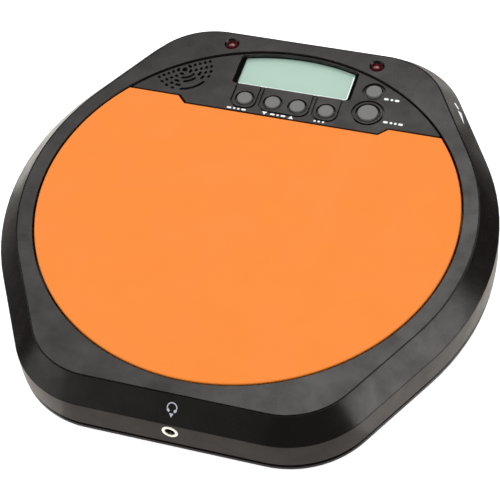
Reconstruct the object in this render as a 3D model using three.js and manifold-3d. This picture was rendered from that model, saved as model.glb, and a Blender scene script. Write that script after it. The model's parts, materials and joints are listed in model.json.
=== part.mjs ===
// Electronic drum practice pad with a built-in metronome.
//
// Millimetres, +Z up. The origin lies on the surface that the pad stands on, under the
// centre of the round playing surface. +Y points to the control panel at the rear and
// +X to the player's right.
import * as THREE from "three";
import { mergeVertices } from "three/addons/utils/BufferGeometryUtils.js";
import Module from "manifold-3d";

const wasm = await Module();
wasm.setup();

const DEGREE = Math.PI / 180;
const MERGE_DISTANCE = 1e-4;
const GAP = 0.3; // clearance between neighbouring pieces
const THROUGH = 1; // how far a cutter reaches beyond the face that it opens

// Heights
const TOP = 31;
const BEVEL_DROP = 10.4;
const CASE_BOTTOM = 1.8;
const FLOOR_TOP = 4.3;
const LOWER_TOP = 5.8;
const SEAM = 6.2;
const WALL = 2.5;

// Case outline: six flats at the crest distance, two wide side arcs and four corners
const CREST = 109.75;
const CORNER_RADIUS = 36.2;
const CORNER_CENTRE = (CREST - CORNER_RADIUS) / Math.cos(30 * DEGREE);
const BEVEL_OUT = 9.5;
const LOWER_OUT = 9.15;
const NECK_OUT = 8; // the lower case is narrower above its rim, which leaves a dark seam
const NECK_BOTTOM = 3.9;
const ARC_STEPS = 10;
const LIP_THICKNESS = 1.5;
const LIP_HEIGHT = 2.8;

// Pad and panel share one circle, split along the panel's front edge
const PAD_RADIUS = 101.5;
const WELL_RADIUS = 102;
const TRAY_RADIUS = 104.1;
const CIRCLE_STEP = 4 * DEGREE;
const PANEL_FRONT = 57.4;
const PANEL_HALF_WIDTH = 49.6;
const PANEL_STEP = 4.5;
const SPLIT_GAP = 0.25; // from the split line to each of the two pieces
const TRAY_FLOOR = 22.6;
const TRAY_BOTTOM = 20.6;

// Layers under the playing surface
const PAD_THICKNESS = 3.7;
const PLATE_TOP = TOP - PAD_THICKNESS - GAP;
const PLATE_BOTTOM = PLATE_TOP - 1;
const PLATE_INSET = 0.8;
const FOAM_INSET = 1.2;
const FOAM_HOLE = 16;
const PIEZO_RADIUS = 13.5;
const PIEZO_CERAMIC_RADIUS = 9.5;
const PIEZO_LAYER = 0.4;
const PIEZO_WIRE_X = 11;
const PIEZO_WIRE_HOLE = 2.4;

// Control panel
const PANEL_TOP = 30;
const PANEL_BOTTOM = 28;
const LEDGE_TOP = 27.9;
const LEDGE_BOTTOM = 25.9;
const LEDGE_RADIUS = 99;
const WINDOW_HALF_WIDTH = 30.3;
const WINDOW_FRONT = 76.8;
const WINDOW_RADIUS = 100.9;
const WINDOW_LAP = 1; // the window reaches under the panel at the front and sides
const WINDOW_REAR_LAP = 0.4;
const WINDOW_TOP = 27.9;
const WINDOW_BOTTOM = 27.3;
const LCD_TOP = 27.2;
const LCD_BOTTOM = 22.7;

// Buttons: place, cap radius and hole radius
const KEY_ROW = 67.4;
const BUTTONS = [
  { name: "rhythm", x: -21.2, y: KEY_ROW, cap: 3.8, hole: 4.7 },
  { name: "tempo_down", x: -6.6, y: KEY_ROW, cap: 3.8, hole: 4.7 },
  { name: "tempo_up", x: 6.2, y: KEY_ROW, cap: 3.8, hole: 4.7 },
  { name: "beat", x: 20.9, y: KEY_ROW, cap: 3.8, hole: 4.7 },
  { name: "mode", x: 41, y: 85.3, cap: 3.9, hole: 4.7 },
  { name: "power", x: 41.4, y: 70.8, cap: 5, hole: 5.9 },
];
const CAP_TOP = 30.7;
const CAP_FLANGE_TOP = 27.6;
const CAP_FLANGE_BOTTOM = 26.6;
const CAP_FLANGE_LAP = 0.6; // flange beyond the hole
const STEM_RADIUS = 1.6;
const STEM_BOTTOM = 24.7;

// Main board and what stands on it
const BOARD_BOTTOM = 20.4;
const BOARD_TOP = 22;
const SWITCH_SIDE = 6;
const SWITCH_BOTTOM = 22.1;
const SWITCH_TOP = 25.5;
const SWITCH_WELL_BOTTOM = 23.5;
const POST_RADIUS = 2.6;
const POST_HOLE = 1.3;
const BOARD_SCREWS = [[-33, 64], [51, 77.5]];
const BOARD_SCREW_HOLE = 1.4;

// Speaker, concentric with the grille above it
const SPEAKER = [-57.1, 80.2];
const SPEAKER_RADIUS = 14;
const SPEAKER_FLANGE_TOP = 26.4;
const SPEAKER_FLOOR = 21.6;
const SPEAKER_SHEET = 0.8;
const MAGNET_RADIUS = 7.5;
const MAGNET_BOTTOM = 17.4;
const GASKET_INNER = 12.2;

// Grille: rings of round holes, with a curved slot on the line to the pad's centre
const GRILLE_HOLE = 1.3;
const GRILLE_RIM = 99.55; // each ring's first hole lies on this circle about the origin
const GRILLE_FIRST_RING = 3.3;
const GRILLE_RING_PITCH = 2.6;
const GRILLE_HOLE_PITCH = 3.63;
const GRILLE_RINGS = [
  { holes: 2, slot: 0 },
  { holes: 2, slot: 30 },
  { holes: 3, slot: 19 },
  { holes: 4, slot: 0 },
  { holes: 4, slot: 26 },
];

// LEDs
const LED_X = 38.4;
const LED_Y = 101.9;
const LED_RADIUS = 3;
const LED_FLANGE_RADIUS = 3.4;
const LED_FLANGE = 1.1;
const LED_HOLE = 3.2;
const LED_DISH = 3.9;
const LED_DISH_DEPTH = 1;

// Headphone socket in the front wall
const JACK_Z = 15.8;
const JACK_BORE = 1.8;
const JACK_BUSH = 2.8;
const JACK_HOLE = 3.1;
const NUT_RADIUS = 3.75;
const NUT_OUT = 0.8;
const JACK_LENGTH = 12;
const JACK_HALF_WIDTH = 4.5;
const JACK_BODY_BOTTOM = JACK_Z - 4.2;
const JACK_BODY_TOP = JACK_Z + 3.8;
const FRONT_WALL = CREST + BEVEL_OUT;

// Volume wheel in the right rear wall, whose outward normal is 30 degrees from +X
const VOLUME_ANGLE = 30 * DEGREE;
const VOLUME_ALONG = 30;
const WHEEL_RADIUS = 8;
const WHEEL_OUT = 1.8;
const WHEEL_BOTTOM = 13;
const WHEEL_TOP = 15.4;
const WHEEL_TEETH = 30;
const WHEEL_TOOTH_DEPTH = 0.5;
const SLOT_HALF_WIDTH = 7.6;
const POT_BOTTOM = 9;
const POT_TOP = 12.5;
const POT_SHAFT = 1.3;
const POT_BACK = 7.5; // from the wheel's axis to the case's inside
const POT_FRONT = 3.2; // from the wheel's axis to the wall
const POT_HALF_WIDTH = 5.5;
const POT_SEAT_HALF_WIDTH = 4.5;

// Battery compartment, with the cells lying along X
const BATTERY_Y = -20;
const CELL_PITCH = 11.2;
const CELL_RADIUS = 5.15;
const CELL_LENGTH = 44.5;
const CELL_Z = 10.5;
const CELL_CAP_RADIUS = 1.9;
const CELL_CAP = 1.1;
const CONTACT_THICKNESS = 0.4;
const CONTACT_HALF_SIZE = 4;
const CONTACT_BUTTON = 1;
const CAVITY_HALF_X = 26.3;
const CAVITY_HALF_Y = 23;
const CAVITY_TOP = 16.3;
const RECESS_HALF_X = 28.5;
const RECESS_HALF_Y = 25;
const RECESS_TOP = 4.3;
const BATTERY_WALL = 1.5;
const RECESS_RIM = 1.2;
const DOOR_BOTTOM = 2.2;
const DOOR_TOP = 4;
const DOOR_AXIS_Z = (DOOR_BOTTOM + DOOR_TOP) / 2;
const DOOR_EDGE = (DOOR_TOP - DOOR_BOTTOM) / 2;
const DOOR_AXIS_Y = BATTERY_Y + RECESS_HALF_Y - DOOR_EDGE - GAP;
const DOOR_PIN = 0.5;
const DOOR_PIN_REACH = 1.2;
const DOOR_NOTCH = 8;
const TONGUE_HALF_WIDTH = 5;
const TONGUE_THICKNESS = 1.2;
const TONGUE_HEIGHT = 2.7;

// Case screws and feet
const SCREWS = [[62, 100], [-62, 100], [62, -100], [-62, -100], [110.5, 0], [-110.5, 0]];
const BOSS_RADIUS = 3.6;
const BOSS_HOLE = 1.7;
const BOSS_BOTTOM = 8.3;
const PILLAR_RADIUS = 5;
const PILLAR_TOP = 8;
const SCREW_SEAT = 5.4;
const SCREW_HEAD_BORE = 3.1;
const FEET = [[72, 72], [-72, 72], [72, -72], [-72, -72]];
const FOOT_RADIUS = 6;
const FOOT_POCKET = 1;
const FOOT_CHAMFER = 1;

const finishes = {
  blackPlastic: { color: "#2c2b2b", roughness: 0.4, metalness: 0 },
  panelPlastic: { color: "#3a3938", roughness: 0.5, metalness: 0 },
  orangeRubber: { color: "#f88a3c", roughness: 0.75, metalness: 0 },
  blackRubber: { color: "#1c1b1a", roughness: 0.85, metalness: 0 },
  foam: { color: "#3b3a3c", roughness: 0.95, metalness: 0 },
  greyRubber: { color: "#8f8f8c", roughness: 0.7, metalness: 0 },
  redLens: { color: "#8c1414", roughness: 0.15, metalness: 0 },
  clearAcrylic: { color: "#dfe9e4", roughness: 0.05, metalness: 0 },
  display: { color: "#b4d4c4", roughness: 0.25, metalness: 0 },
  board: { color: "#1f5a35", roughness: 0.5, metalness: 0 },
  steel: { color: "#b9bbbd", roughness: 0.35, metalness: 1 },
  nickel: { color: "#d8d4c8", roughness: 0.25, metalness: 1 },
  brass: { color: "#c9a24a", roughness: 0.35, metalness: 1 },
  paper: { color: "#222120", roughness: 0.9, metalness: 0 },
  switchBlack: { color: "#17171a", roughness: 0.5, metalness: 0 },
  cell: { color: "#5e7c86", roughness: 0.35, metalness: 0.3 },
  wire: { color: "#a02a22", roughness: 0.6, metalness: 0 },
};

const pad = new THREE.Group();

// ---------------------------------------------------------------- geometry helpers

function toSolid(geometry) {
  const bare = geometry.clone();
  bare.deleteAttribute("normal");
  bare.deleteAttribute("uv");
  const merged = mergeVertices(bare, MERGE_DISTANCE);
  return new wasm.Manifold(new wasm.Mesh({
    numProp: 3,
    vertProperties: Float32Array.from(merged.attributes.position.array),
    triVerts: Uint32Array.from(merged.index.array),
  }));
}

function toGeometry(solid) {
  const mesh = solid.getMesh();
  const geometry = new THREE.BufferGeometry();
  geometry.setAttribute("position", new THREE.BufferAttribute(mesh.vertProperties, 3));
  geometry.setIndex(new THREE.BufferAttribute(mesh.triVerts, 1));
  geometry.computeVertexNormals();
  return geometry;
}

function addPiece(name, finish, solid) {
  const mesh = new THREE.Mesh(toGeometry(solid), new THREE.MeshStandardMaterial(finishes[finish]));
  mesh.name = name;
  pad.add(mesh);
  return mesh;
}

// Points of an arc, both ends included
function arc(x, y, radius, from, to, steps) {
  const points = [];
  for (let i = 0; i <= steps; i += 1) {
    const angle = from + (to - from) * i / steps;
    points.push(new THREE.Vector2(x + radius * Math.cos(angle), y + radius * Math.sin(angle)));
  }
  return points;
}

function circle(x, y, radius, steps) {
  return arc(x, y, radius, 0, 2 * Math.PI, steps).slice(0, -1);
}

function extrude(points, bottom, top) {
  const shape = new THREE.Shape(points);
  const geometry = new THREE.ExtrudeGeometry(shape, { depth: top - bottom, bevelEnabled: false });
  geometry.translate(0, 0, bottom);
  return toSolid(geometry);
}

function disc(x, y, radius, bottom, top, steps = 24) {
  return extrude(circle(x, y, radius, steps), bottom, top);
}

function block(xLow, xHigh, yLow, yHigh, zLow, zHigh) {
  const geometry = new THREE.BoxGeometry(xHigh - xLow, yHigh - yLow, zHigh - zLow);
  geometry.translate((xLow + xHigh) / 2, (yLow + yHigh) / 2, (zLow + zHigh) / 2);
  return toSolid(geometry);
}

// A round bar along X or Y between two places on that axis
function barAlongX(y, z, radius, from, to, steps = 16) {
  const geometry = new THREE.CylinderGeometry(radius, radius, to - from, steps);
  geometry.rotateZ(90 * DEGREE);
  geometry.translate((from + to) / 2, y, z);
  return toSolid(geometry);
}

function barAlongY(x, z, radius, from, to, steps = 24) {
  const geometry = new THREE.CylinderGeometry(radius, radius, to - from, steps);
  geometry.translate(x, (from + to) / 2, z);
  return toSolid(geometry);
}

// A turned piece about a vertical axis; the profile holds radius and height pairs
function turned(profile, x, y, steps = 24) {
  const geometry = new THREE.LatheGeometry(profile.map(([r, z]) => new THREE.Vector2(r, z)), steps);
  geometry.rotateX(90 * DEGREE);
  geometry.translate(x, y, 0);
  return toSolid(geometry);
}

// ---------------------------------------------------------------- outlines

// The case outline, moved outwards by the given distance
function caseOutline(out) {
  const points = [];
  for (let corner = 0; corner < 6; corner += 1) {
    const middle = corner * 60 * DEGREE;
    const onSide = corner % 3 === 0;
    const reach = onSide ? 0 : CORNER_CENTRE;
    const radius = (onSide ? CREST : CORNER_RADIUS) + out;
    const x = reach * Math.cos(middle);
    const y = reach * Math.sin(middle);
    points.push(...arc(x, y, radius, middle - 30 * DEGREE, middle + 30 * DEGREE, ARC_STEPS));
  }
  return withoutRepeats(points);
}

function withoutRepeats(points) {
  return points.filter((point, i) => point.distanceTo(points[(i + 1) % points.length]) > 1e-3);
}

// The split line from the right side to the left, moved to the rear by the given distance
function splitLine(back) {
  const inner = PANEL_HALF_WIDTH - Math.tan(22.5 * DEGREE) * back;
  const outer = inner + PANEL_STEP;
  const front = PANEL_FRONT + back;
  return [
    new THREE.Vector2(outer, front + PANEL_STEP),
    new THREE.Vector2(inner, front),
    new THREE.Vector2(-inner, front),
    new THREE.Vector2(-outer, front + PANEL_STEP),
  ];
}

// The part of a circle in front of the split line
function padOutline(radius, back) {
  const end = Math.asin((PANEL_FRONT + PANEL_STEP + back) / radius);
  const steps = Math.round((Math.PI + 2 * end) / CIRCLE_STEP);
  return [...arc(0, 0, radius, Math.PI - end, 2 * Math.PI + end, steps), ...splitLine(back)];
}

// The part of a circle behind the split line
function panelOutline(radius, back) {
  const end = Math.asin((PANEL_FRONT + PANEL_STEP + back) / radius);
  const steps = Math.round((Math.PI - 2 * end) / CIRCLE_STEP);
  return [...arc(0, 0, radius, end, Math.PI - end, steps), ...splitLine(back).reverse()];
}

// The display opening grown by a lap: straight front and sides, rear edge about the origin
function windowOutline(lap, rearLap) {
  const side = WINDOW_HALF_WIDTH + lap;
  const radius = WINDOW_RADIUS + rearLap;
  const front = WINDOW_FRONT - lap;
  const end = Math.acos(side / radius);
  const rear = arc(0, 0, radius, end, Math.PI - end, 12);
  return [new THREE.Vector2(-side, front), new THREE.Vector2(side, front), ...rear];
}

// ---------------------------------------------------------------- case

// A block of the case outline with the sloped edge around its top
function bevelledCase(crestOut, wallOut, drop, top, bottom) {
  const shape = new THREE.Shape(caseOutline(crestOut));
  const geometry = new THREE.ExtrudeGeometry(shape, {
    depth: top - drop - bottom,
    bevelThickness: drop,
    bevelSize: wallOut - crestOut,
    bevelSegments: 1,
  });
  geometry.translate(0, 0, bottom);
  const far = 2 * CREST;
  const underside = block(-far, far, -far, far, bottom - drop - THROUGH, bottom);
  return toSolid(geometry).subtract(underside);
}

function screwBosses(envelope) {
  let bosses = null;
  for (const [x, y] of SCREWS) {
    const boss = disc(x, y, BOSS_RADIUS, BOSS_BOTTOM, TOP - WALL / 2, 16);
    bosses = bosses ? bosses.add(boss) : boss;
  }
  return bosses.intersect(envelope);
}

function volumeSlot() {
  const depth = 3 * WALL;
  const slot = new THREE.BoxGeometry(depth, 2 * SLOT_HALF_WIDTH, WHEEL_TOP - WHEEL_BOTTOM + 4 * GAP);
  slot.translate(FRONT_WALL, VOLUME_ALONG, (WHEEL_TOP + WHEEL_BOTTOM) / 2);
  slot.rotateZ(VOLUME_ANGLE);
  return toSolid(slot);
}

function makeUpperCase() {
  const slope = BEVEL_DROP / BEVEL_OUT;
  const innerCrest = WALL / slope - WALL / Math.sin(Math.atan(slope));
  const innerWall = BEVEL_OUT - WALL;
  const innerDrop = (innerWall - innerCrest) * slope;
  const outer = bevelledCase(0, BEVEL_OUT, BEVEL_DROP, TOP, SEAM);
  const inner = bevelledCase(innerCrest, innerWall, innerDrop, TOP - WALL, SEAM - 1);
  const trayWall = TRAY_RADIUS - WELL_RADIUS;
  const tray = extrude(padOutline(TRAY_RADIUS, trayWall), TRAY_BOTTOM, TOP - WALL / 2);
  const ledge = extrude(panelOutline(TRAY_RADIUS, 0), LEDGE_BOTTOM, TOP - WALL / 2);
  const well = extrude(padOutline(WELL_RADIUS, 0), TRAY_FLOOR, TOP + 1);
  const panelSeat = extrude(panelOutline(WELL_RADIUS, -GAP), LEDGE_TOP, TOP + 1);
  const panelHole = extrude(panelOutline(LEDGE_RADIUS, trayWall), LEDGE_BOTTOM - 1, TOP + 1);
  let shell = outer.subtract(inner).add(screwBosses(outer)).add(tray).add(ledge);
  shell = shell.subtract(well).subtract(panelSeat).subtract(panelHole);

  const under = LEDGE_BOTTOM - THROUGH;
  const roomX = WINDOW_HALF_WIDTH + WINDOW_LAP + 2;
  const roomFront = LEDGE_RADIUS - 15;
  shell = shell.subtract(block(-roomX, roomX, roomFront, TRAY_RADIUS + 1, under, TOP - WALL));
  shell = shell.subtract(disc(...SPEAKER, SPEAKER_RADIUS + 4 * GAP, under, TOP - WALL));
  for (const { x, y, hole } of BUTTONS) {
    shell = shell.subtract(disc(x, y, hole + CAP_FLANGE_LAP + 2 * GAP, under, LEDGE_TOP + 0.1));
  }
  const dishFloor = TOP - LED_DISH_DEPTH;
  const dish = [[0, dishFloor], [LED_HOLE, dishFloor], [LED_DISH, TOP], [LED_DISH, TOP + 1], [0, TOP + 1]];
  for (const x of [-LED_X, LED_X]) {
    shell = shell.subtract(disc(x, LED_Y, LED_HOLE, TOP - 2 * WALL, TOP + 1));
    shell = shell.subtract(turned(dish, x, LED_Y));
  }
  for (const [x, y] of SCREWS) {
    shell = shell.subtract(disc(x, y, BOSS_HOLE, BOSS_BOTTOM - 1, BOSS_BOTTOM + 10, 12));
  }
  shell = shell.subtract(barAlongY(0, JACK_Z, JACK_HOLE, -FRONT_WALL - 1, -FRONT_WALL + WALL + 1));
  shell = shell.subtract(volumeSlot());
  const [trayLow, trayHigh] = [TRAY_BOTTOM - THROUGH, TRAY_FLOOR + THROUGH];
  shell = shell.subtract(disc(PIEZO_WIRE_X, 0.5, PIEZO_WIRE_HOLE, trayLow, trayHigh, 12));
  addPiece("upper_case", "blackPlastic", shell);
}

// A block centred on the battery compartment
function batteryBlock(halfX, halfY, bottom, top) {
  return block(-halfX, halfX, BATTERY_Y - halfY, BATTERY_Y + halfY, bottom, top);
}

function batteryBox() {
  const [baseX, baseY] = [RECESS_HALF_X + RECESS_RIM, RECESS_HALF_Y + RECESS_RIM];
  const [boxX, boxY] = [CAVITY_HALF_X + BATTERY_WALL, CAVITY_HALF_Y + BATTERY_WALL];
  return batteryBlock(baseX, baseY, CASE_BOTTOM, RECESS_TOP + BATTERY_WALL)
    .add(batteryBlock(boxX, boxY, CASE_BOTTOM, CAVITY_TOP + BATTERY_WALL));
}

function makeLowerCase() {
  let shell = extrude(caseOutline(LOWER_OUT), CASE_BOTTOM, NECK_BOTTOM);
  shell = shell.add(extrude(caseOutline(NECK_OUT), NECK_BOTTOM - 0.5, LOWER_TOP));
  const lipOut = BEVEL_OUT - WALL - GAP;
  const lipTop = LOWER_TOP + LIP_HEIGHT;
  const inside = extrude(caseOutline(lipOut - LIP_THICKNESS), FLOOR_TOP, lipTop + THROUGH);
  shell = shell.add(extrude(caseOutline(lipOut), LOWER_TOP - 1, lipTop)).subtract(inside);
  shell = shell.add(batteryBox());
  for (const [x, y] of SCREWS) {
    shell = shell.add(disc(x, y, PILLAR_RADIUS, CASE_BOTTOM, PILLAR_TOP));
  }
  const seat = block(1 - POT_BACK, POT_FRONT, -POT_SEAT_HALF_WIDTH, POT_SEAT_HALF_WIDTH,
    CASE_BOTTOM, POT_BOTTOM - GAP);
  shell = shell.add(onVolumePlace(seat));

  const under = CASE_BOTTOM - THROUGH;
  const pinX = RECESS_HALF_X + DOOR_PIN_REACH;
  shell = shell.subtract(batteryBlock(CAVITY_HALF_X, CAVITY_HALF_Y, under, CAVITY_TOP));
  shell = shell.subtract(batteryBlock(RECESS_HALF_X, RECESS_HALF_Y, under, RECESS_TOP));
  shell = shell.subtract(barAlongX(DOOR_AXIS_Y, DOOR_AXIS_Z, DOOR_PIN + GAP, -pinX, pinX, 10));
  shell = shell.subtract(disc(0, BATTERY_Y - RECESS_HALF_Y, DOOR_NOTCH, under, CASE_BOTTOM + 1));
  for (const [x, y] of SCREWS) {
    shell = shell.subtract(disc(x, y, SCREW_HEAD_BORE, under, SCREW_SEAT));
    shell = shell.subtract(disc(x, y, BOSS_HOLE, under, PILLAR_TOP + THROUGH, 12));
  }
  for (const [x, y] of FEET) {
    shell = shell.subtract(disc(x, y, FOOT_RADIUS + GAP, under, CASE_BOTTOM + FOOT_POCKET));
  }
  addPiece("lower_case", "blackPlastic", shell);
}

function makeFeet() {
  const top = CASE_BOTTOM + FOOT_POCKET - GAP;
  const tread = FOOT_RADIUS - FOOT_CHAMFER;
  const profile = [[0, 0], [tread, 0], [FOOT_RADIUS, FOOT_CHAMFER], [FOOT_RADIUS, top], [0, top]];
  FEET.forEach(([x, y]) => {
    const side = x > 0 ? "right" : "left";
    const end = y > 0 ? "rear" : "front";
    addPiece(`foot_${end}_${side}`, "blackRubber", turned(profile, x, y, 20));
  });
}

// A pan-head screw pointing up, with its head under the seat
function screwSolid(x, y, seat, { headRadius, headHeight, radius, length }) {
  return turned([
    [0, seat - headHeight],
    [headRadius, seat - headHeight],
    [headRadius, seat],
    [radius, seat],
    [radius, seat + length - 1],
    [0, seat + length],
  ], x, y, 12);
}

function makeScrews() {
  const caseScrew = { headRadius: 2.7, headHeight: 1.8, radius: 1.4, length: 12 };
  SCREWS.forEach(([x, y], i) => {
    addPiece(`case_screw_${i + 1}`, "steel", screwSolid(x, y, SCREW_SEAT - 0.2, caseScrew));
  });
  const boardScrew = { headRadius: 2.2, headHeight: 1.4, radius: 1, length: 6 };
  BOARD_SCREWS.forEach(([x, y], i) => {
    addPiece(`board_screw_${i + 1}`, "steel", screwSolid(x, y, BOARD_BOTTOM - 0.1, boardScrew));
  });
}

// ---------------------------------------------------------------- playing surface

function makePlayingSurface() {
  const rubber = extrude(padOutline(PAD_RADIUS, -SPLIT_GAP), TOP - PAD_THICKNESS, TOP);
  addPiece("drum_pad", "orangeRubber", rubber);
  const plate = extrude(padOutline(PAD_RADIUS - PLATE_INSET, -1), PLATE_BOTTOM, PLATE_TOP);
  addPiece("pad_backing_plate", "steel", plate);
  const foamOutline = padOutline(PAD_RADIUS - FOAM_INSET, -1.4);
  const foam = extrude(foamOutline, TRAY_FLOOR + GAP, PLATE_BOTTOM - GAP)
    .subtract(disc(0, 0, FOAM_HOLE, TRAY_FLOOR, PLATE_BOTTOM));
  addPiece("pad_foam", "foam", foam);
  const top = PLATE_BOTTOM - 0.1;
  const sensor = turned([
    [0, top - 2 * PIEZO_LAYER],
    [PIEZO_CERAMIC_RADIUS, top - 2 * PIEZO_LAYER],
    [PIEZO_CERAMIC_RADIUS, top - PIEZO_LAYER],
    [PIEZO_RADIUS, top - PIEZO_LAYER],
    [PIEZO_RADIUS, top],
    [0, top],
  ], 0, 0);
  addPiece("piezo_sensor", "brass", sensor);
}

// ---------------------------------------------------------------- control panel

// A slot bent about the speaker's axis, with round ends
function grilleSlot(radius, middle, halfSpan) {
  const half = GRILLE_HOLE / 2;
  const [from, to] = [middle - halfSpan, middle + halfSpan];
  const steps = Math.max(1, Math.round(halfSpan / (6 * DEGREE)));
  const end = (angle, start) => {
    const x = SPEAKER[0] + radius * Math.cos(angle);
    const y = SPEAKER[1] + radius * Math.sin(angle);
    return arc(x, y, half, start, start + Math.PI, 5).slice(1, -1);
  };
  return extrude([
    ...arc(...SPEAKER, radius + half, from, to, steps),
    ...end(to, to),
    ...arc(...SPEAKER, radius - half, to, from, steps),
    ...end(from, from + Math.PI),
  ], PANEL_BOTTOM - THROUGH, PANEL_TOP + THROUGH);
}

// Each ring starts at the grille's rim and runs both ways towards the pad's centre
function grille() {
  const toPad = Math.atan2(-SPEAKER[1], -SPEAKER[0]);
  const away = Math.hypot(...SPEAKER);
  const cuts = [disc(...SPEAKER, GRILLE_HOLE, PANEL_BOTTOM - THROUGH, PANEL_TOP + THROUGH, 12)];
  GRILLE_RINGS.forEach(({ holes, slot }, ring) => {
    const radius = GRILLE_FIRST_RING + ring * GRILLE_RING_PITCH;
    const cosine = (away ** 2 + radius ** 2 - GRILLE_RIM ** 2) / (2 * away * radius);
    for (let i = 0; i < holes; i += 1) {
      const turn = Math.acos(cosine) - i * GRILLE_HOLE_PITCH / radius;
      const halfSpan = 0.25 / radius;
      cuts.push(grilleSlot(radius, toPad - turn, halfSpan), grilleSlot(radius, toPad + turn, halfSpan));
    }
    if (slot > 0) {
      cuts.push(grilleSlot(radius, toPad, slot * DEGREE));
    }
  });
  return cuts;
}

function makeControlPanel() {
  let panel = extrude(panelOutline(PAD_RADIUS, SPLIT_GAP), PANEL_BOTTOM, PANEL_TOP);
  for (const [x, y] of BOARD_SCREWS) {
    panel = panel.add(disc(x, y, POST_RADIUS, BOARD_TOP + GAP, PANEL_BOTTOM + 1, 16));
    panel = panel.subtract(disc(x, y, POST_HOLE, BOARD_TOP, PANEL_BOTTOM - 0.5, 12));
  }
  const [low, high] = [PANEL_BOTTOM - THROUGH, PANEL_TOP + THROUGH];
  panel = panel.subtract(extrude(windowOutline(0, 0), low, high));
  for (const { x, y, hole } of BUTTONS) {
    panel = panel.subtract(disc(x, y, hole, low, high));
  }
  for (const cut of grille()) {
    panel = panel.subtract(cut);
  }
  addPiece("control_panel", "panelPlastic", panel);
}

function makeDisplay() {
  const sheet = extrude(windowOutline(WINDOW_LAP, WINDOW_REAR_LAP), WINDOW_BOTTOM, WINDOW_TOP);
  addPiece("lcd_window", "clearAcrylic", sheet);
  addPiece("lcd_panel", "display", extrude(windowOutline(0.5, 0.2), LCD_BOTTOM, LCD_TOP));
}

function makeButtons() {
  for (const { name, x, y, cap, hole } of BUTTONS) {
    const flange = hole + CAP_FLANGE_LAP;
    const profile = [
      [0, STEM_BOTTOM],
      [STEM_RADIUS, STEM_BOTTOM],
      [STEM_RADIUS, CAP_FLANGE_BOTTOM],
      [flange, CAP_FLANGE_BOTTOM],
      [flange, CAP_FLANGE_TOP],
      [cap, CAP_FLANGE_TOP],
      [cap, CAP_TOP - 0.5],
      [cap - 0.5, CAP_TOP],
      [0, CAP_TOP],
    ];
    addPiece(`${name}_button`, "greyRubber", turned(profile, x, y, 20));
    const half = SWITCH_SIDE / 2;
    const body = block(x - half, x + half, y - half, y + half, SWITCH_BOTTOM, SWITCH_TOP)
      .subtract(disc(x, y, STEM_RADIUS + GAP, SWITCH_WELL_BOTTOM, SWITCH_TOP + 1, 16));
    addPiece(`${name}_switch`, "switchBlack", body);
  }
}

function makeMainBoard() {
  const corners = [
    [-38, 60.4],
    [47, 60.4],
    [55, 68.5],
    [55, 94],
    [44, 106.5],
    [-44, 106.5],
    [-44, 99],
    [-38, 93],
  ];
  const outline = corners.map(([x, y]) => new THREE.Vector2(x, y));
  let board = extrude(outline, BOARD_BOTTOM, BOARD_TOP);
  const [low, high] = [BOARD_BOTTOM - THROUGH, BOARD_TOP + THROUGH];
  for (const [x, y] of BOARD_SCREWS) {
    board = board.subtract(disc(x, y, BOARD_SCREW_HOLE, low, high, 12));
  }
  addPiece("main_board", "board", board);
}

function makeLeds() {
  const bottom = BOARD_TOP + GAP;
  const domeCentre = TOP - LED_RADIUS;
  const dome = arc(0, domeCentre, LED_RADIUS, 0, 75 * DEGREE, 4).map((p) => [p.x, p.y]);
  const profile = [
    [0, bottom],
    [LED_FLANGE_RADIUS, bottom],
    [LED_FLANGE_RADIUS, bottom + LED_FLANGE],
    [LED_RADIUS, bottom + LED_FLANGE],
    ...dome,
    [0, TOP],
  ];
  addPiece("led_left", "redLens", turned(profile, -LED_X, LED_Y, 16));
  addPiece("led_right", "redLens", turned(profile, LED_X, LED_Y, 16));
}

// ---------------------------------------------------------------- speaker

function makeSpeaker() {
  const floor = SPEAKER_FLOOR;
  const flange = SPEAKER_FLANGE_TOP;
  const frame = turned([
    [0, floor],
    [8.6, floor],
    [13, flange - 1],
    [SPEAKER_RADIUS, flange - 1],
    [SPEAKER_RADIUS, flange],
    [12.4, flange],
    [8.2, floor + SPEAKER_SHEET],
    [0, floor + SPEAKER_SHEET],
  ], ...SPEAKER);
  addPiece("speaker_frame", "steel", frame);
  const cone = turned([
    [0, floor + 2.9],
    [3.6, floor + 1.9],
    [4.6, floor + 1.9],
    [11.4, flange - 0.5],
    [11, flange - 0.1],
    [4.4, floor + 2.6],
    [3.6, floor + 2.6],
    [0, floor + 3.6],
  ], ...SPEAKER);
  addPiece("speaker_cone", "paper", cone);
  const magnet = disc(...SPEAKER, MAGNET_RADIUS, MAGNET_BOTTOM, floor - GAP);
  addPiece("speaker_magnet", "steel", magnet);
  const [low, high] = [flange + 0.2, PANEL_BOTTOM - 0.2];
  const gasket = disc(...SPEAKER, SPEAKER_RADIUS, low, high)
    .subtract(disc(...SPEAKER, GASKET_INNER, low - THROUGH, high + THROUGH));
  addPiece("speaker_gasket", "foam", gasket);
}

// ---------------------------------------------------------------- sockets and controls in the walls

function makeHeadphoneJack() {
  const bodyFront = -FRONT_WALL + WALL + GAP;
  const face = -FRONT_WALL - NUT_OUT + 0.1;
  const body = block(-JACK_HALF_WIDTH, JACK_HALF_WIDTH, bodyFront, bodyFront + JACK_LENGTH,
    JACK_BODY_BOTTOM, JACK_BODY_TOP)
    .add(barAlongY(0, JACK_Z, JACK_BUSH, face, bodyFront + 1))
    .subtract(barAlongY(0, JACK_Z, JACK_BORE, face - THROUGH, bodyFront + JACK_LENGTH - 2, 16));
  addPiece("headphone_jack_body", "nickel", body);
  const [front, back] = [-FRONT_WALL - NUT_OUT, -FRONT_WALL - 0.05];
  const nut = barAlongY(0, JACK_Z, NUT_RADIUS, front, back)
    .subtract(barAlongY(0, JACK_Z, JACK_BUSH + GAP, front - THROUGH, back + THROUGH));
  addPiece("headphone_jack_nut", "nickel", nut);
}

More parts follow.
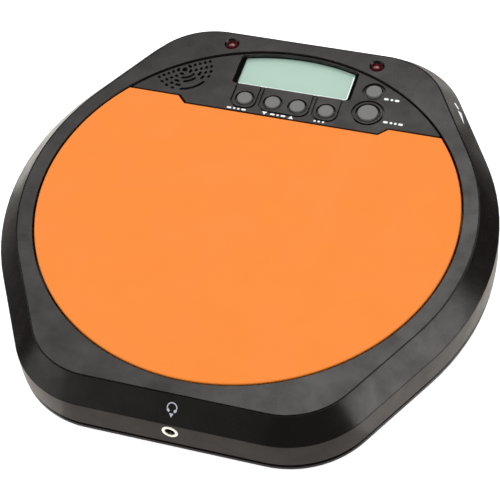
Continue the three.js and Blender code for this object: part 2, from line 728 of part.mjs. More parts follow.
// Moves a solid made about the Z axis to the volume wheel's place and direction
function onVolumePlace(solid) {
  const out = FRONT_WALL + WHEEL_OUT - WHEEL_RADIUS;
  const x = out * Math.cos(VOLUME_ANGLE) - VOLUME_ALONG * Math.sin(VOLUME_ANGLE);
  const y = out * Math.sin(VOLUME_ANGLE) + VOLUME_ALONG * Math.cos(VOLUME_ANGLE);
  return solid.rotate([0, 0, VOLUME_ANGLE / DEGREE]).translate([x, y, 0]);
}

function makeVolumeControl() {
  const points = [];
  for (let i = 0; i < 2 * WHEEL_TEETH; i += 1) {
    const radius = WHEEL_RADIUS - (i % 2) * WHEEL_TOOTH_DEPTH;
    const angle = Math.PI * i / WHEEL_TEETH;
    points.push(new THREE.Vector2(radius * Math.cos(angle), radius * Math.sin(angle)));
  }
  const wheel = extrude(points, WHEEL_BOTTOM, WHEEL_TOP)
    .subtract(disc(0, 0, POT_SHAFT + GAP, WHEEL_BOTTOM - THROUGH, WHEEL_TOP + THROUGH, 16));
  addPiece("volume_wheel", "blackPlastic", onVolumePlace(wheel));
  const pot = block(-POT_BACK, POT_FRONT, -POT_HALF_WIDTH, POT_HALF_WIDTH, POT_BOTTOM, POT_TOP)
    .add(disc(0, 0, POT_SHAFT, POT_TOP - 1, WHEEL_TOP + 0.6, 16));
  addPiece("volume_potentiometer", "switchBlack", onVolumePlace(pot));
}

// ---------------------------------------------------------------- batteries

function cellY(i) {
  return BATTERY_Y + (i - 1.5) * CELL_PITCH;
}

// A round cell along X with its positive end towards +X, or towards -X when direction is -1
function cellSolid(y, direction) {
  const half = CELL_LENGTH / 2;
  const shoulder = half - CELL_CAP;
  const profile = [
    [0, -half],
    [CELL_RADIUS - 0.4, -half],
    [CELL_RADIUS, 0.4 - half],
    [CELL_RADIUS, shoulder - 0.5],
    [CELL_RADIUS - 0.5, shoulder],
    [CELL_CAP_RADIUS, shoulder],
    [CELL_CAP_RADIUS, half],
    [0, half],
  ];
  const geometry = new THREE.LatheGeometry(profile.map(([r, z]) => new THREE.Vector2(r, z)), 20);
  geometry.rotateZ(-90 * DEGREE * direction);
  geometry.translate(0, y, CELL_Z);
  return toSolid(geometry);
}

// A contact plate at one end of the compartment, with a sprung cone for each negative end
function contactSolid(side, ends) {
  const plateX = CAVITY_HALF_X - GAP;
  const inner = plateX - CONTACT_THICKNESS;
  const low = Math.min(...ends.map((end) => end.y)) - CONTACT_HALF_SIZE;
  const high = Math.max(...ends.map((end) => end.y)) + CONTACT_HALF_SIZE;
  const xs = [side * inner, side * plateX].sort((a, b) => a - b);
  let contact = block(...xs, low, high, CELL_Z - CONTACT_HALF_SIZE, CELL_Z + CONTACT_HALF_SIZE);
  for (const { y, sprung } of ends) {
    const reach = sprung ? inner - CELL_LENGTH / 2 - GAP : CONTACT_BUTTON;
    const tip = sprung ? 1.8 : 1.4;
    const cone = new THREE.CylinderGeometry(tip, 3, reach + 0.2, 16);
    cone.rotateZ(90 * DEGREE * side);
    cone.translate(side * (inner - reach / 2 + 0.1), y, CELL_Z);
    contact = contact.add(toSolid(cone));
  }
  return contact;
}

function makeBatteries() {
  for (let i = 0; i < 4; i += 1) {
    addPiece(`battery_cell_${i + 1}`, "cell", cellSolid(cellY(i), i % 2 === 0 ? 1 : -1));
  }
  const end = (i, sprung) => ({ y: cellY(i), sprung });
  addPiece("battery_contact_positive", "nickel", contactSolid(1, [end(0, false)]));
  addPiece("battery_contact_negative", "nickel", contactSolid(1, [end(3, true)]));
  addPiece("battery_link_right", "nickel", contactSolid(1, [end(1, true), end(2, false)]));
  addPiece("battery_link_left_front", "nickel", contactSolid(-1, [end(0, true), end(1, false)]));
  addPiece("battery_link_left_rear", "nickel", contactSolid(-1, [end(2, true), end(3, false)]));
}

function makeBatteryDoor() {
  const half = RECESS_HALF_X - GAP;
  const front = BATTERY_Y - RECESS_HALF_Y + GAP;
  const tongueY = BATTERY_Y - CAVITY_HALF_Y + 0.4;
  const pinX = half + DOOR_PIN_REACH;
  const tongue = block(-TONGUE_HALF_WIDTH, TONGUE_HALF_WIDTH, tongueY, tongueY + TONGUE_THICKNESS,
    DOOR_TOP - 0.5, DOOR_TOP + TONGUE_HEIGHT);
  const door = block(-half, half, front, DOOR_AXIS_Y, DOOR_BOTTOM, DOOR_TOP)
    .add(barAlongX(DOOR_AXIS_Y, DOOR_AXIS_Z, DOOR_EDGE, -half, half))
    .add(barAlongX(DOOR_AXIS_Y, DOOR_AXIS_Z, DOOR_PIN, -pinX, pinX, 10))
    .add(tongue);
  addPiece("battery_door", "blackPlastic", door);
}

// ---------------------------------------------------------------- internal leads

function lead(name, radius, places) {
  const path = new THREE.CatmullRomCurve3(places.map(([x, y, z]) => new THREE.Vector3(x, y, z)));
  const steps = Math.round(path.getLength() / (6 * radius));
  const section = new THREE.Shape(circle(0, 0, radius, 8));
  const geometry = new THREE.ExtrudeGeometry(section, { steps: Math.min(steps, 30), extrudePath: path });
  addPiece(name, "wire", toSolid(geometry));
}

function makeLeads() {
  const under = BOARD_BOTTOM - 1.2;
  lead("piezo_lead", 0.7, [
    [PIEZO_WIRE_X - 3, 0, 24],
    [PIEZO_WIRE_X, 0, 23],
    [PIEZO_WIRE_X, 0.5, 20],
    [9, 10, 19.2],
    [4, 34, 19.2],
    [2, 55, 19.2],
    [0, 64, under],
  ]);
  lead("battery_lead", 0.8, [
    [31, -3.2, 9],
    [33, 8, 9.5],
    [30, 30, 12],
    [26, 52, 16],
    [24, 64, under],
  ]);
  lead("speaker_lead", 0.7, [
    [-47, 76, 19.4],
    [-42, 74, 18.4],
    [-37, 72, 18.4],
    [-33, 71, under],
  ]);
  lead("headphone_lead", 0.8, [
    [2, -102, 14],
    [14, -92, 13],
    [34, -70, 12],
    [42, -30, 12],
    [40, 20, 13],
    [36, 50, 16],
    [34, 64, under],
  ]);
  lead("volume_lead", 0.7, [
    [74, 76, 11],
    [66, 74, 12],
    [58, 76, 15],
    [50, 82, 17],
    [46, 83, under],
  ]);
}

makeUpperCase();
makeLowerCase();
makeFeet();
makeScrews();
makePlayingSurface();
makeControlPanel();
makeDisplay();
makeButtons();
makeMainBoard();
makeLeds();
makeSpeaker();
makeHeadphoneJack();
makeVolumeControl();
makeBatteries();
makeBatteryDoor();
makeLeads();

export default pad;
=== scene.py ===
"""Looks for the electronic practice pad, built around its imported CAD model.

Everything is in metres, in the CAD frame: the origin is on the standing surface under the
pad's centre, +Y points to the control panel and +Z up.
"""

import json
import math

import bmesh
import bpy
from mathutils import Matrix, Vector


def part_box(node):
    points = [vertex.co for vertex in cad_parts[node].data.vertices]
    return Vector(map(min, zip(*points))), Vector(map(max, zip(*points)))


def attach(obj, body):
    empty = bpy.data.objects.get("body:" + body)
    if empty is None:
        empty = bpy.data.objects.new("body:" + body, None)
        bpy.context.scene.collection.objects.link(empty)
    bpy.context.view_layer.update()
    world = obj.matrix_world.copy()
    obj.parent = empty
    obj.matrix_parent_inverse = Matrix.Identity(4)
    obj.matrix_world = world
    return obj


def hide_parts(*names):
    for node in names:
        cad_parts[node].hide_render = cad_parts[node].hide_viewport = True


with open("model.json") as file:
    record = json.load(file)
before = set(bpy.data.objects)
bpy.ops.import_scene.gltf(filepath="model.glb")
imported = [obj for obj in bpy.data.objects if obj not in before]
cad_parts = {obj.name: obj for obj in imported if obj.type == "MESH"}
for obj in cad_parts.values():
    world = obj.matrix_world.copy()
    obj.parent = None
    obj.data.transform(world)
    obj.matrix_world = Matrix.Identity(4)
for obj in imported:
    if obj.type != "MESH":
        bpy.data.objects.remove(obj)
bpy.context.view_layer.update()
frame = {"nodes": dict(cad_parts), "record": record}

MM = 0.001
DEGREE = math.pi / 180

# ---------------------------------- places read from the frame


def middle(node):
    """The middle of a CAD node's box."""
    low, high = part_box(node)
    return (low + high) / 2


def half_width(node):
    """Half of a CAD node's width along X: its radius, for a round one."""
    low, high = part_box(node)
    return (high.x - low.x) / 2


case_low, case_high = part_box("upper_case")
window_low, window_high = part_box("lcd_window")
nut_low, nut_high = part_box("headphone_jack_nut")
door_low, door_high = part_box("battery_door")
wheel_low, wheel_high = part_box("volume_wheel")

TOP = case_high.z
SEAM = case_low.z
WALL_REACH = case_high.x
BASE_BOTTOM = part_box("lower_case")[0].z
PAD_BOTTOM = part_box("drum_pad")[0].z
PANEL_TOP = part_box("control_panel")[1].z
GAP = 0.3 * MM
STEP = 0.1 * MM  # how far solids reach into each other before they are joined

# Case section
BEVEL_OUT = 9.5 * MM
BEVEL_DROP = 10.4 * MM
CREST = WALL_REACH - BEVEL_OUT
CORNER_RADIUS = 36.2 * MM
CORNER_CENTRE = (CREST - CORNER_RADIUS) / math.cos(30 * DEGREE)
WALL = 2.5 * MM
LOWER_OUT = 9.15 * MM
NECK_OUT = 8 * MM
NECK_BOTTOM = 3.9 * MM
LOWER_TOP = 5.8 * MM
FLOOR_TOP = 4.3 * MM
ARC_STEPS = 18
FLAT_STEPS = 12

# Pad and panel openings
PAD_RADIUS = 101.5 * MM
WELL_RADIUS = 102 * MM
TRAY_RADIUS = 104.1 * MM
LEDGE_RADIUS = 99 * MM
TRAY_FLOOR = 22.6 * MM
TRAY_BOTTOM = 20.6 * MM
LEDGE_TOP = 27.9 * MM
LEDGE_BOTTOM = 25.9 * MM
PANEL_FRONT = 57.4 * MM
PANEL_HALF_WIDTH = 49.6 * MM
PANEL_STEP = 4.5 * MM
CIRCLE_STEP = 1.5 * DEGREE


# ---------------------------------- outlines


def arc(x, y, radius, start, end, steps):
    """Points of an arc, both ends included."""
    points = []
    for i in range(steps + 1):
        angle = start + (end - start) * i / steps
        points.append(Vector((x + radius * math.cos(angle), y + radius * math.sin(angle))))
    return points


def circle(x, y, radius, steps=48):
    return arc(x, y, radius, 0, 2 * math.pi, steps)[:-1]


def rectangle(x_low, x_high, y_low, y_high):
    return [Vector(p) for p in ((x_low, y_low), (x_high, y_low), (x_high, y_high), (x_low, y_high))]


def case_outline(out):
    """The case seen from above, moved outwards: six arcs joined by short flats."""
    arcs = []
    for corner in range(6):
        turn = corner * 60 * DEGREE
        on_side = corner % 3 == 0
        reach = 0 if on_side else CORNER_CENTRE
        radius = (CREST if on_side else CORNER_RADIUS) + out
        x = reach * math.cos(turn)
        y = reach * math.sin(turn)
        arcs.append(arc(x, y, radius, turn - 30 * DEGREE, turn + 30 * DEGREE, ARC_STEPS))
    points = []
    for i, curve in enumerate(arcs):
        follower = arcs[(i + 1) % 6][0]
        points += curve
        for step in range(1, FLAT_STEPS):
            points.append(curve[-1].lerp(follower, step / FLAT_STEPS))
    return points


def circle_beside_case(radius):
    """A circle with one point beside each point of the case outline."""
    return [point.normalized() * radius for point in case_outline(0)]


def split_line(back):
    """The line between pad and panel, from right to left, moved to the rear."""
    inner = PANEL_HALF_WIDTH - math.tan(22.5 * DEGREE) * back
    outer = inner + PANEL_STEP
    front = PANEL_FRONT + back
    places = ((outer, front + PANEL_STEP), (inner, front), (-inner, front), (-outer, front + PANEL_STEP))
    return [Vector(place) for place in places]


def pad_outline(radius, back):
    """The part of a circle in front of the split line."""
    end = math.asin((PANEL_FRONT + PANEL_STEP + back) / radius)
    steps = round((math.pi + 2 * end) / CIRCLE_STEP)
    return arc(0, 0, radius, math.pi - end, 2 * math.pi + end, steps) + split_line(back)


def panel_outline(radius, back):
    """The part of a circle behind the split line."""
    end = math.asin((PANEL_FRONT + PANEL_STEP + back) / radius)
    steps = round((math.pi - 2 * end) / CIRCLE_STEP)
    return arc(0, 0, radius, end, math.pi - end, steps) + split_line(back)[::-1]


def rounded(corners, radius, steps=6, closed=True):
    """The outline with an arc in place of each sharp corner."""
    least_turn = 15 * DEGREE
    most_of_side = 0.45
    points = [Vector(corner) for corner in corners]
    result = []
    count = len(points)
    for i, point in enumerate(points):
        if not closed and i in (0, count - 1):
            result.append(point)
            continue
        before = points[i - 1] - point
        after = points[(i + 1) % count] - point
        turn = math.pi - before.angle(after)
        if turn < least_turn:
            result.append(point)
            continue
        trim = min(radius * math.tan(turn / 2), most_of_side * before.length, most_of_side * after.length)
        first = point + before.normalized() * trim
        last = point + after.normalized() * trim
        bend = trim / math.tan(turn / 2)
        inward = (before.normalized() + after.normalized()).normalized()
        centre = point + inward * (bend / math.cos(turn / 2))
        for step in range(steps + 1):
            spoke = (first - centre).slerp(last - centre, step / steps)
            result.append(centre + spoke.normalized() * bend)
    return result


def inset(points, distance):
    """The outline, counter-clockwise, moved inwards."""
    moved = []
    count = len(points)
    for i, point in enumerate(points):
        before = (point - points[i - 1]).normalized()
        after = (points[(i + 1) % count] - point).normalized()
        normal = Vector((-before.y, before.x)) + Vector((-after.y, after.x))
        moved.append(point + normal * (distance / (1 + before.dot(after))))
    return moved


def stroke(path, width):
    """The outline of a line of even width along an open path."""
    left, right = [], []
    last = len(path) - 1
    for i, point in enumerate(path):
        along = (path[min(i + 1, last)] - path[max(i - 1, 0)]).normalized()
        across = Vector((-along.y, along.x)) * (width / 2)
        left.append(point + across)
        right.append(point - across)
    return right + left[::-1]


# ---------------------------------- meshes

MERGE_DISTANCE = 1e-7
LEAST_RADIUS = 1e-9  # stands for a radius of nothing, until the points on the axis are merged
CREASE = 32 * DEGREE


def add_mesh(name, mesh):
    piece = bpy.data.objects.new(name, mesh)
    bpy.context.scene.collection.objects.link(piece)
    return piece


def from_bmesh(name, bm):
    """The finished mesh as an object, with meeting points merged and its faces turned outwards."""
    bmesh.ops.remove_doubles(bm, verts=bm.verts, dist=MERGE_DISTANCE)
    bmesh.ops.recalc_face_normals(bm, faces=bm.faces)
    mesh = bpy.data.meshes.new(name)
    bm.to_mesh(mesh)
    bm.free()
    return add_mesh(name, mesh)


def add_sides(bm, low, high):
    """Faces between two loops of points."""
    for i in range(len(low)):
        bm.faces.new((low[i - 1], low[i], high[i], high[i - 1]))


def loft(name, rings, closed=False):
    """A skin through loops of equal length: capped at both ends, or joined end to end."""
    bm = bmesh.new()
    loops = [[bm.verts.new(point) for point in ring] for ring in rings]
    pairs = list(zip(loops, loops[1:]))
    if closed:
        pairs.append((loops[-1], loops[0]))
    for low, high in pairs:
        add_sides(bm, low, high)
    if not closed:
        bm.faces.new(loops[0][::-1])
        bm.faces.new(loops[-1])
    return from_bmesh(name, bm)


def raised(points, z):
    return [Vector((point.x, point.y, z)) for point in points]


def over_edge(radius, z, steps=4):
    """Inset and height of a rounded upper edge, from the side to the top."""
    angles = [90 * DEGREE * i / steps for i in range(steps + 1)]
    return [(radius * (1 - math.cos(a)), z - radius * (1 - math.sin(a))) for a in angles]


def under_edge(radius, z, steps=4):
    """Inset and height of a rounded lower edge, from the bottom to the side."""
    return [(shift, 2 * z - height) for shift, height in over_edge(radius, z, steps)][::-1]


def slab(name, outline, z_low, z_high, lower=0.0, upper=0.0):
    """A plate with its lower and upper edges rounded by these radii."""
    levels = under_edge(lower, z_low) if lower else [(0, z_low)]
    levels += over_edge(upper, z_high) if upper else [(0, z_high)]
    return loft(name, [raised(inset(outline, shift), z) for shift, z in levels])


def stand(piece, place, direction):
    """Moves a mesh made about the vertical axis to its place and turns it to its direction."""
    turn = Vector((0, 0, 1)).rotation_difference(Vector(direction)).to_matrix().to_4x4()
    piece.data.transform(Matrix.Translation(Vector(place)) @ turn)
    return piece


def turned(name, profile, place=(0, 0, 0), direction=(0, 0, 1), steps=48):
    """A lathe-turned form. The profile holds radius and height, from axis to axis."""
    bm = bmesh.new()
    loops = []
    for radius, height in profile:
        ring = raised(circle(0, 0, max(radius, LEAST_RADIUS), steps), height)
        loops.append([bm.verts.new(point) for point in ring])
    for low, high in zip(loops, loops[1:]):
        add_sides(bm, low, high)
    return stand(from_bmesh(name, bm), place, direction)


def turned_ring(name, profile, place=(0, 0, 0), direction=(0, 0, 1), steps=64):
    """A turned ring, whose profile is a closed outline away from the axis."""
    rings = []
    for i in range(steps):
        angle = 2 * math.pi * i / steps
        rings.append([Vector((r * math.cos(angle), r * math.sin(angle), h)) for r, h in profile])
    return stand(loft(name, rings, closed=True), place, direction)


def on_table(place):
    """The point of the table straight under a place."""
    return Vector((place.x, place.y, 0))


def upright(name, profile, centre, steps=48):
    """A turned form about the vertical through this centre, its heights measured from the table."""
    return turned(name, profile, on_table(centre), steps=steps)


def disc(centre, radius, z_low, z_high, steps=32):
    return upright("disc", [(0, z_low), (radius, z_low), (radius, z_high), (0, z_high)], centre, steps)


def rod(radius, start, end, chamfer=0.0, steps=24):
    """A round bar between two places, with chamfered ends."""
    along = Vector(end) - Vector(start)
    length = along.length
    profile = [(0, 0), (radius - chamfer, 0)]
    if chamfer:
        profile += [(radius, chamfer), (radius, length - chamfer)]
    profile += [(radius - chamfer, length), (0, length)]
    return turned("rod", profile, start, along, steps)


def tube(name, path, radius, axis, steps=8):
    """A round wire that winds about an axis."""
    rings = []
    last = len(path) - 1
    for i, point in enumerate(path):
        along = (path[min(i + 1, last)] - path[max(i - 1, 0)]).normalized()
        side = along.cross(axis).normalized()
        up = side.cross(along)
        ring = []
        for step in range(steps):
            angle = 2 * math.pi * step / steps
            ring.append(point + radius * (math.cos(angle) * side + math.sin(angle) * up))
        rings.append(ring)
    return loft(name, rings)


def block(name, low, high, lower=0.0, upper=0.0):
    """A rectangular block between two corners, with rounded lower and upper edges."""
    return slab(name, rectangle(low[0], high[0], low[1], high[1]), low[2], high[2], lower, upper)


def evaluated_mesh(holder):
    """A new mesh of an object with its modifiers, or its curve's thickness, applied."""
    depsgraph = bpy.context.evaluated_depsgraph_get()
    return bpy.data.meshes.new_from_object(holder.evaluated_get(depsgraph))


def plate(name, outlines, z_low, z_high, bevel):
    """A flat plate with holes. The first outline is its edge, and every edge is bevelled."""
    curve = bpy.data.curves.new(name, "CURVE")
    curve.dimensions = "2D"
    curve.fill_mode = "BOTH"
    for outline in outlines:
        spline = curve.splines.new("POLY")
        spline.points.add(len(outline) - 1)
        spline.use_cyclic_u = True
        for target, point in zip(spline.points, outline):
            target.co = (point.x, point.y, 0, 1)
    curve.extrude = (z_high - z_low) / 2 - bevel
    curve.bevel_depth = bevel
    curve.bevel_resolution = 2
    curve.offset = -bevel
    holder = add_mesh(name, curve)
    bm = bmesh.new()
    bm.from_mesh(evaluated_mesh(holder))
    bpy.data.objects.remove(holder)
    bmesh.ops.translate(bm, verts=bm.verts, vec=(0, 0, (z_low + z_high) / 2))
    return from_bmesh(name, bm)


def combine(piece, operation, tools):
    """Booleans one after another, applied to the mesh."""
    for tool in tools:
        modifier = piece.modifiers.new("combine", "BOOLEAN")
        modifier.operation = operation
        modifier.solver = "MANIFOLD"
        modifier.object = tool
        mesh = evaluated_mesh(piece)
        piece.modifiers.clear()
        piece.data = mesh
        bpy.data.objects.remove(tool)
    return piece


def cut(piece, *tools):
    return combine(piece, "DIFFERENCE", tools)


def join(piece, *tools):
    return combine(piece, "UNION", tools)


def present(piece, slot, *nodes, body="case", material=None):
    """Shades a finished piece, parents it to its body and hides the CAD nodes it stands in for. Its material
    is its slot's, unless one is given.
    """
    piece.data.shade_smooth()
    piece.data.set_sharp_from_angle(angle=CREASE)
    normals = piece.modifiers.new("even_normals", "WEIGHTED_NORMAL")
    normals.keep_sharp = True
    piece.data.materials.clear()
    piece.data.materials.append(material or MATERIALS[slot])
    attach(piece, body)
    if nodes:
        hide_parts(*nodes)
    return piece


# ---------------------------------- materials


def srgb(red, green, blue):
    """A linear colour from the usual 0 to 255 values."""
    channels = []
    for value in (red, green, blue):
        share = value / 255
        channels.append(share / 12.92 if share <= 0.04045 else ((share + 0.055) / 1.055) ** 2.4)
    return (*channels, 1.0)


class Surface:
    """A Principled material whose colour, roughness and bump vary over the object."""

    def __init__(self, name, roughness, metallic=0.0):
        self.material = bpy.data.materials.new(name)
        self.material.use_nodes = True
        self.nodes = self.material.node_tree.nodes
        self.links = self.material.node_tree.links
        self.shader = self.nodes["Principled BSDF"]
        self.shader.inputs["Metallic"].default_value = metallic
        self.shader.inputs["Roughness"].default_value = roughness
        self.place = self.node("TexCoord").outputs["Object"]
        self.bump = None

    def node(self, kind, **values):
        """A new shader node with these input values. An underscore stands for a space."""
        node = self.nodes.new(f"ShaderNode{kind}")
        for socket, value in values.items():
            node.inputs[socket.replace("_", " ")].default_value = value
        return node

    def noise(self, size, detail=3.0, stretch=(1, 1, 1), roughness=0.55):
        """A noise pattern with features of about this size."""
        mapping = self.node("Mapping", Scale=[1 / (size * share) for share in stretch])
        self.links.new(self.place, mapping.inputs["Vector"])
        noise = self.node("TexNoise", Scale=1, Detail=detail, Roughness=roughness)
        self.links.new(mapping.outputs["Vector"], noise.inputs["Vector"])
        return noise.outputs["Fac"]

    def cells(self, size):
        """A pattern of rounded cells of about this size."""
        voronoi = self.node("TexVoronoi", Scale=1 / size)
        voronoi.feature = "SMOOTH_F1"
        self.links.new(self.place, voronoi.inputs["Vector"])
        return voronoi.outputs["Distance"]

    def ranged(self, pattern, low, high, start=0.35, end=0.65):
        """A pattern's values from start to end, spread out from low to high."""
        spread = self.node("MapRange", From_Min=start, From_Max=end, To_Min=low, To_Max=high)
        self.links.new(pattern, spread.inputs["Value"])
        return spread.outputs["Result"]

    def colour(self, first, second, pattern):
        """Colour between two by a pattern from 0 to 1."""
        mix = self.node("Mix")
        mix.data_type = "RGBA"
        mix.inputs["A"].default_value = first
        mix.inputs["B"].default_value = second
        self.links.new(pattern, mix.inputs["Factor"])
        self.links.new(mix.outputs["Result"], self.shader.inputs["Base Color"])

    def gloss(self, low, high, size):
        """Roughness that varies in patches of this size."""
        self.links.new(self.ranged(self.noise(size), low, high), self.shader.inputs["Roughness"])

    def relief(self, pattern, depth):
        """Bump of this depth, on top of any bump already there."""
        bump = self.node("Bump", Distance=depth)
        self.links.new(pattern, bump.inputs["Height"])
        if self.bump is not None:
            self.links.new(self.bump, bump.inputs["Normal"])
        self.bump = bump.outputs["Normal"]
        self.links.new(self.bump, self.shader.inputs["Normal"])

    def set(self, socket, value):
        self.shader.inputs[socket].default_value = value


def shade(colour, factor):
    """A darker or lighter shade of a linear colour."""
    return (*[channel * factor for channel in colour[:3]], 1.0)


def moulded(name, colour, roughness, grain=0.35 * MM, depth=0.012 * MM, patch=14 * MM, spread=0.12):
    """Moulded plastic or rubber: fine grain, faint mottling and uneven gloss."""
    surface = Surface(name, roughness)
    surface.colour(shade(colour, 1 - spread), shade(colour, 1 + spread), surface.noise(patch, 5))
    surface.gloss(roughness * 0.88, roughness * 1.12, patch * 0.6)
    surface.relief(surface.noise(grain, 2), depth)
    return surface


def metal(name, colour, roughness, brushed=(1, 1, 1)):
    """Plated or drawn metal: faint tarnish, uneven polish and fine grain along the brushing."""
    surface = Surface(name, roughness, metallic=1.0)
    surface.colour(shade(colour, 0.9), shade(colour, 1.05), surface.noise(3 * MM, 4))
    surface.gloss(roughness * 0.75, roughness * 1.25, 1.5 * MM)
    surface.relief(surface.noise(0.25 * MM, 2, brushed), 0.004 * MM)
    return surface


def smudged(surface, size, low, high):
    """Handling marks: the reflection is stronger in some patches than in others."""
    pattern = surface.ranged(surface.noise(size, 6, roughness=0.65), low, high, 0.3, 0.7)
    surface.links.new(pattern, surface.shader.inputs["Specular IOR Level"])
    return surface


def case_plastic():
    surface = moulded("case_abs", srgb(22, 18, 17), 0.26, grain=0.3 * MM, depth=0.006 * MM)
    return smudged(surface, 20 * MM, 0.36, 0.64).material


def panel_plastic():
    surface = moulded("panel_abs", srgb(34, 31, 29), 0.36, grain=0.25 * MM, depth=0.008 * MM)
    return smudged(surface, 16 * MM, 0.38, 0.62).material


def pad_rubber():
    surface = moulded("orange_rubber", srgb(238, 132, 46), 0.62, grain=0.5 * MM,
                      depth=0.015 * MM, patch=45 * MM, spread=0.012)
    surface.set("Specular IOR Level", 0.25)
    return surface.material


def key_rubber():
    return moulded("grey_rubber", srgb(114, 114, 112), 0.6, grain=0.22 * MM, depth=0.03 * MM,
                   patch=2 * MM, spread=0.06).material


def foot_rubber():
    return moulded("foot_rubber", srgb(34, 33, 32), 0.75, depth=0.03 * MM).material


def soft_foam():
    surface = moulded("foam", srgb(58, 57, 60), 0.95, patch=4 * MM)
    surface.relief(surface.cells(0.8 * MM), 0.3 * MM)
    return surface.material


def red_lens():
    surface = Surface("red_lens", 0.12)
    surface.colour(srgb(34, 6, 6), srgb(96, 14, 16), surface.noise(1.6 * MM))
    surface.relief(surface.noise(0.8 * MM, 1), 0.01 * MM)
    surface.set("Coat Weight", 0.6)
    surface.set("Coat Roughness", 0.05)
    return surface.material


def display_glass():
    surface = Surface("display_glass", 0.3)
    surface.colour(srgb(187, 213, 202), srgb(193, 219, 208), surface.noise(18 * MM, 2))
    surface.relief(surface.noise(0.3 * MM, 2), 0.003 * MM)
    return surface.material


def circuit_board():
    surface = Surface("circuit_board", 0.4)
    surface.colour(srgb(18, 74, 42), srgb(28, 98, 56), surface.noise(2.2 * MM, 1, roughness=0.3))
    surface.relief(surface.cells(1.6 * MM), 0.03 * MM)
    return surface.material


def steel():
    return metal("zinc_steel", srgb(176, 178, 182), 0.34).material


def nickel():
    # Pale nickel plate, partly painted highlight: whitened to near white and made mostly non-metallic to
    # stand in for the glare on the jack ring.
    surface = metal("nickel_painted_highlight", srgb(250, 247, 234), 0.35)
    surface.set("Metallic", 0.15)
    return surface.material


def brass():
    return metal("brass", srgb(201, 162, 84), 0.34, brushed=(8, 1, 1)).material


def paper_cone():
    surface = moulded("paper_cone", srgb(24, 23, 23), 0.9, patch=3 * MM)
    surface.relief(surface.noise(0.6 * MM, 4), 0.06 * MM)
    return surface.material


def switch_plastic():
    return moulded("switch_plastic", srgb(30, 30, 32), 0.5).material


def cell_wrap():
    surface = Surface("cell_wrap", 0.3, metallic=0.35)
    surface.colour(srgb(72, 96, 108), srgb(92, 118, 130), surface.noise(6 * MM, 3))
    surface.relief(surface.noise(0.6 * MM, 2, (6, 1, 1)), 0.01 * MM)
    return surface.material


def wire_sleeve():
    return moulded("wire_sleeve", srgb(140, 32, 26), 0.5, patch=5 * MM).material


def window_acrylic():
    """Clear sheet: light passes straight through, and it reflects more the flatter it is seen."""
    least_reflection = 0.03
    most_reflection = 0.6
    surface = Surface("clear_acrylic", 0.06)
    surface.relief(surface.noise(25 * MM, 1), 0.02 * MM)
    links = surface.links
    clear = surface.node("BsdfTransparent", Color=(0.97, 0.985, 0.975, 1))
    facing = surface.node("LayerWeight")
    grazing = surface.node("Math")
    grazing.operation = "POWER"
    grazing.inputs[1].default_value = 5
    links.new(facing.outputs["Facing"], grazing.inputs[0])
    reflection = surface.ranged(grazing.outputs["Value"], least_reflection, most_reflection, 0, 1)
    mix = surface.node("MixShader")
    links.new(reflection, mix.inputs["Fac"])
    links.new(clear.outputs["BSDF"], mix.inputs[1])
    links.new(surface.shader.outputs["BSDF"], mix.inputs[2])
    links.new(mix.outputs["Shader"], surface.nodes["Material Output"].inputs["Surface"])
    surface.set("Base Color", (0.02, 0.02, 0.02, 1))
    return surface.material


def white_print():
    return moulded("white_print", srgb(236, 238, 240), 0.5, patch=2 * MM, spread=0.03).material


def grey_print():
    return moulded("grey_print", srgb(168, 172, 180), 0.5, patch=2 * MM, spread=0.05).material


def mask_print():
    surface = moulded("mask_print", srgb(14, 14, 14), 0.9, patch=4 * MM)
    surface.set("Specular IOR Level", 0.03)
    return surface.material


# Painted highlight: this near-white colour stands in for light caught by the display sheet's front and right
# edges.
def painted_edge_highlight():
    return moulded("painted_highlight_line", srgb(240, 250, 246), 0.3, patch=3 * MM, spread=0.02).material


MATERIALS = {
    "case_plastic": case_plastic(),
    "panel_plastic": panel_plastic(),
    "pad_rubber": pad_rubber(),
    "foot_rubber": foot_rubber(),
    "key_rubber": key_rubber(),
    "foam": soft_foam(),
    "red_lens": red_lens(),
    "window_acrylic": window_acrylic(),
    "display_glass": display_glass(),
    "board": circuit_board(),
    "steel": steel(),
    "nickel": nickel(),
    "brass": brass(),
    "paper_cone": paper_cone(),
    "switch_plastic": switch_plastic(),
    "cell_wrap": cell_wrap(),
    "wire": wire_sleeve(),
}
WHITE_PRINT = white_print()
GREY_PRINT = grey_print()
MASK_PRINT = mask_print()
EDGE_HIGHLIGHT_PAINT = painted_edge_highlight()


def dress_cad_nodes():
    """Gives every CAD node the finish of its material slot in the record."""
    for entry in frame["record"]["subparts"]:
        target = frame["nodes"][entry["node"]]
        target.data.materials.clear()
        target.data.materials.append(MATERIALS[entry["material_slot"]])


# ---------------------------------- case

SLOPE_STEEPNESS = BEVEL_DROP / BEVEL_OUT
CREST_GROOVE = 0.7 * MM
CREST_GROOVE_DEPTH = 0.5 * MM
SHOULDER_RADIUS = 1.1 * MM
LED_HOLE = 3.2 * MM
LED_DISH = 3.9 * MM
LED_DISH_DEPTH = 1 * MM
JACK_HOLE = 3.1 * MM
SPEAKER_ROOM = 15.2 * MM
SPEAKER_ROOM_BOTTOM = 19 * MM
SLOT_HALF_WIDTH = 7.6 * MM
VOLUME_ANGLE = 30 * DEGREE
VOLUME_ALONG = 30 * MM
LED_CENTRES = {side: middle(f"led_{side}") for side in ("left", "right")}
SCREW_CENTRES = [middle(f"case_screw_{i}") for i in range(1, 7)]
SCREW_HOLE = 1.7 * MM
BOSS_RADIUS = 3.6 * MM
BOSS_BOTTOM = 8.3 * MM
BOSS_HOLE_TOP = 18.3 * MM


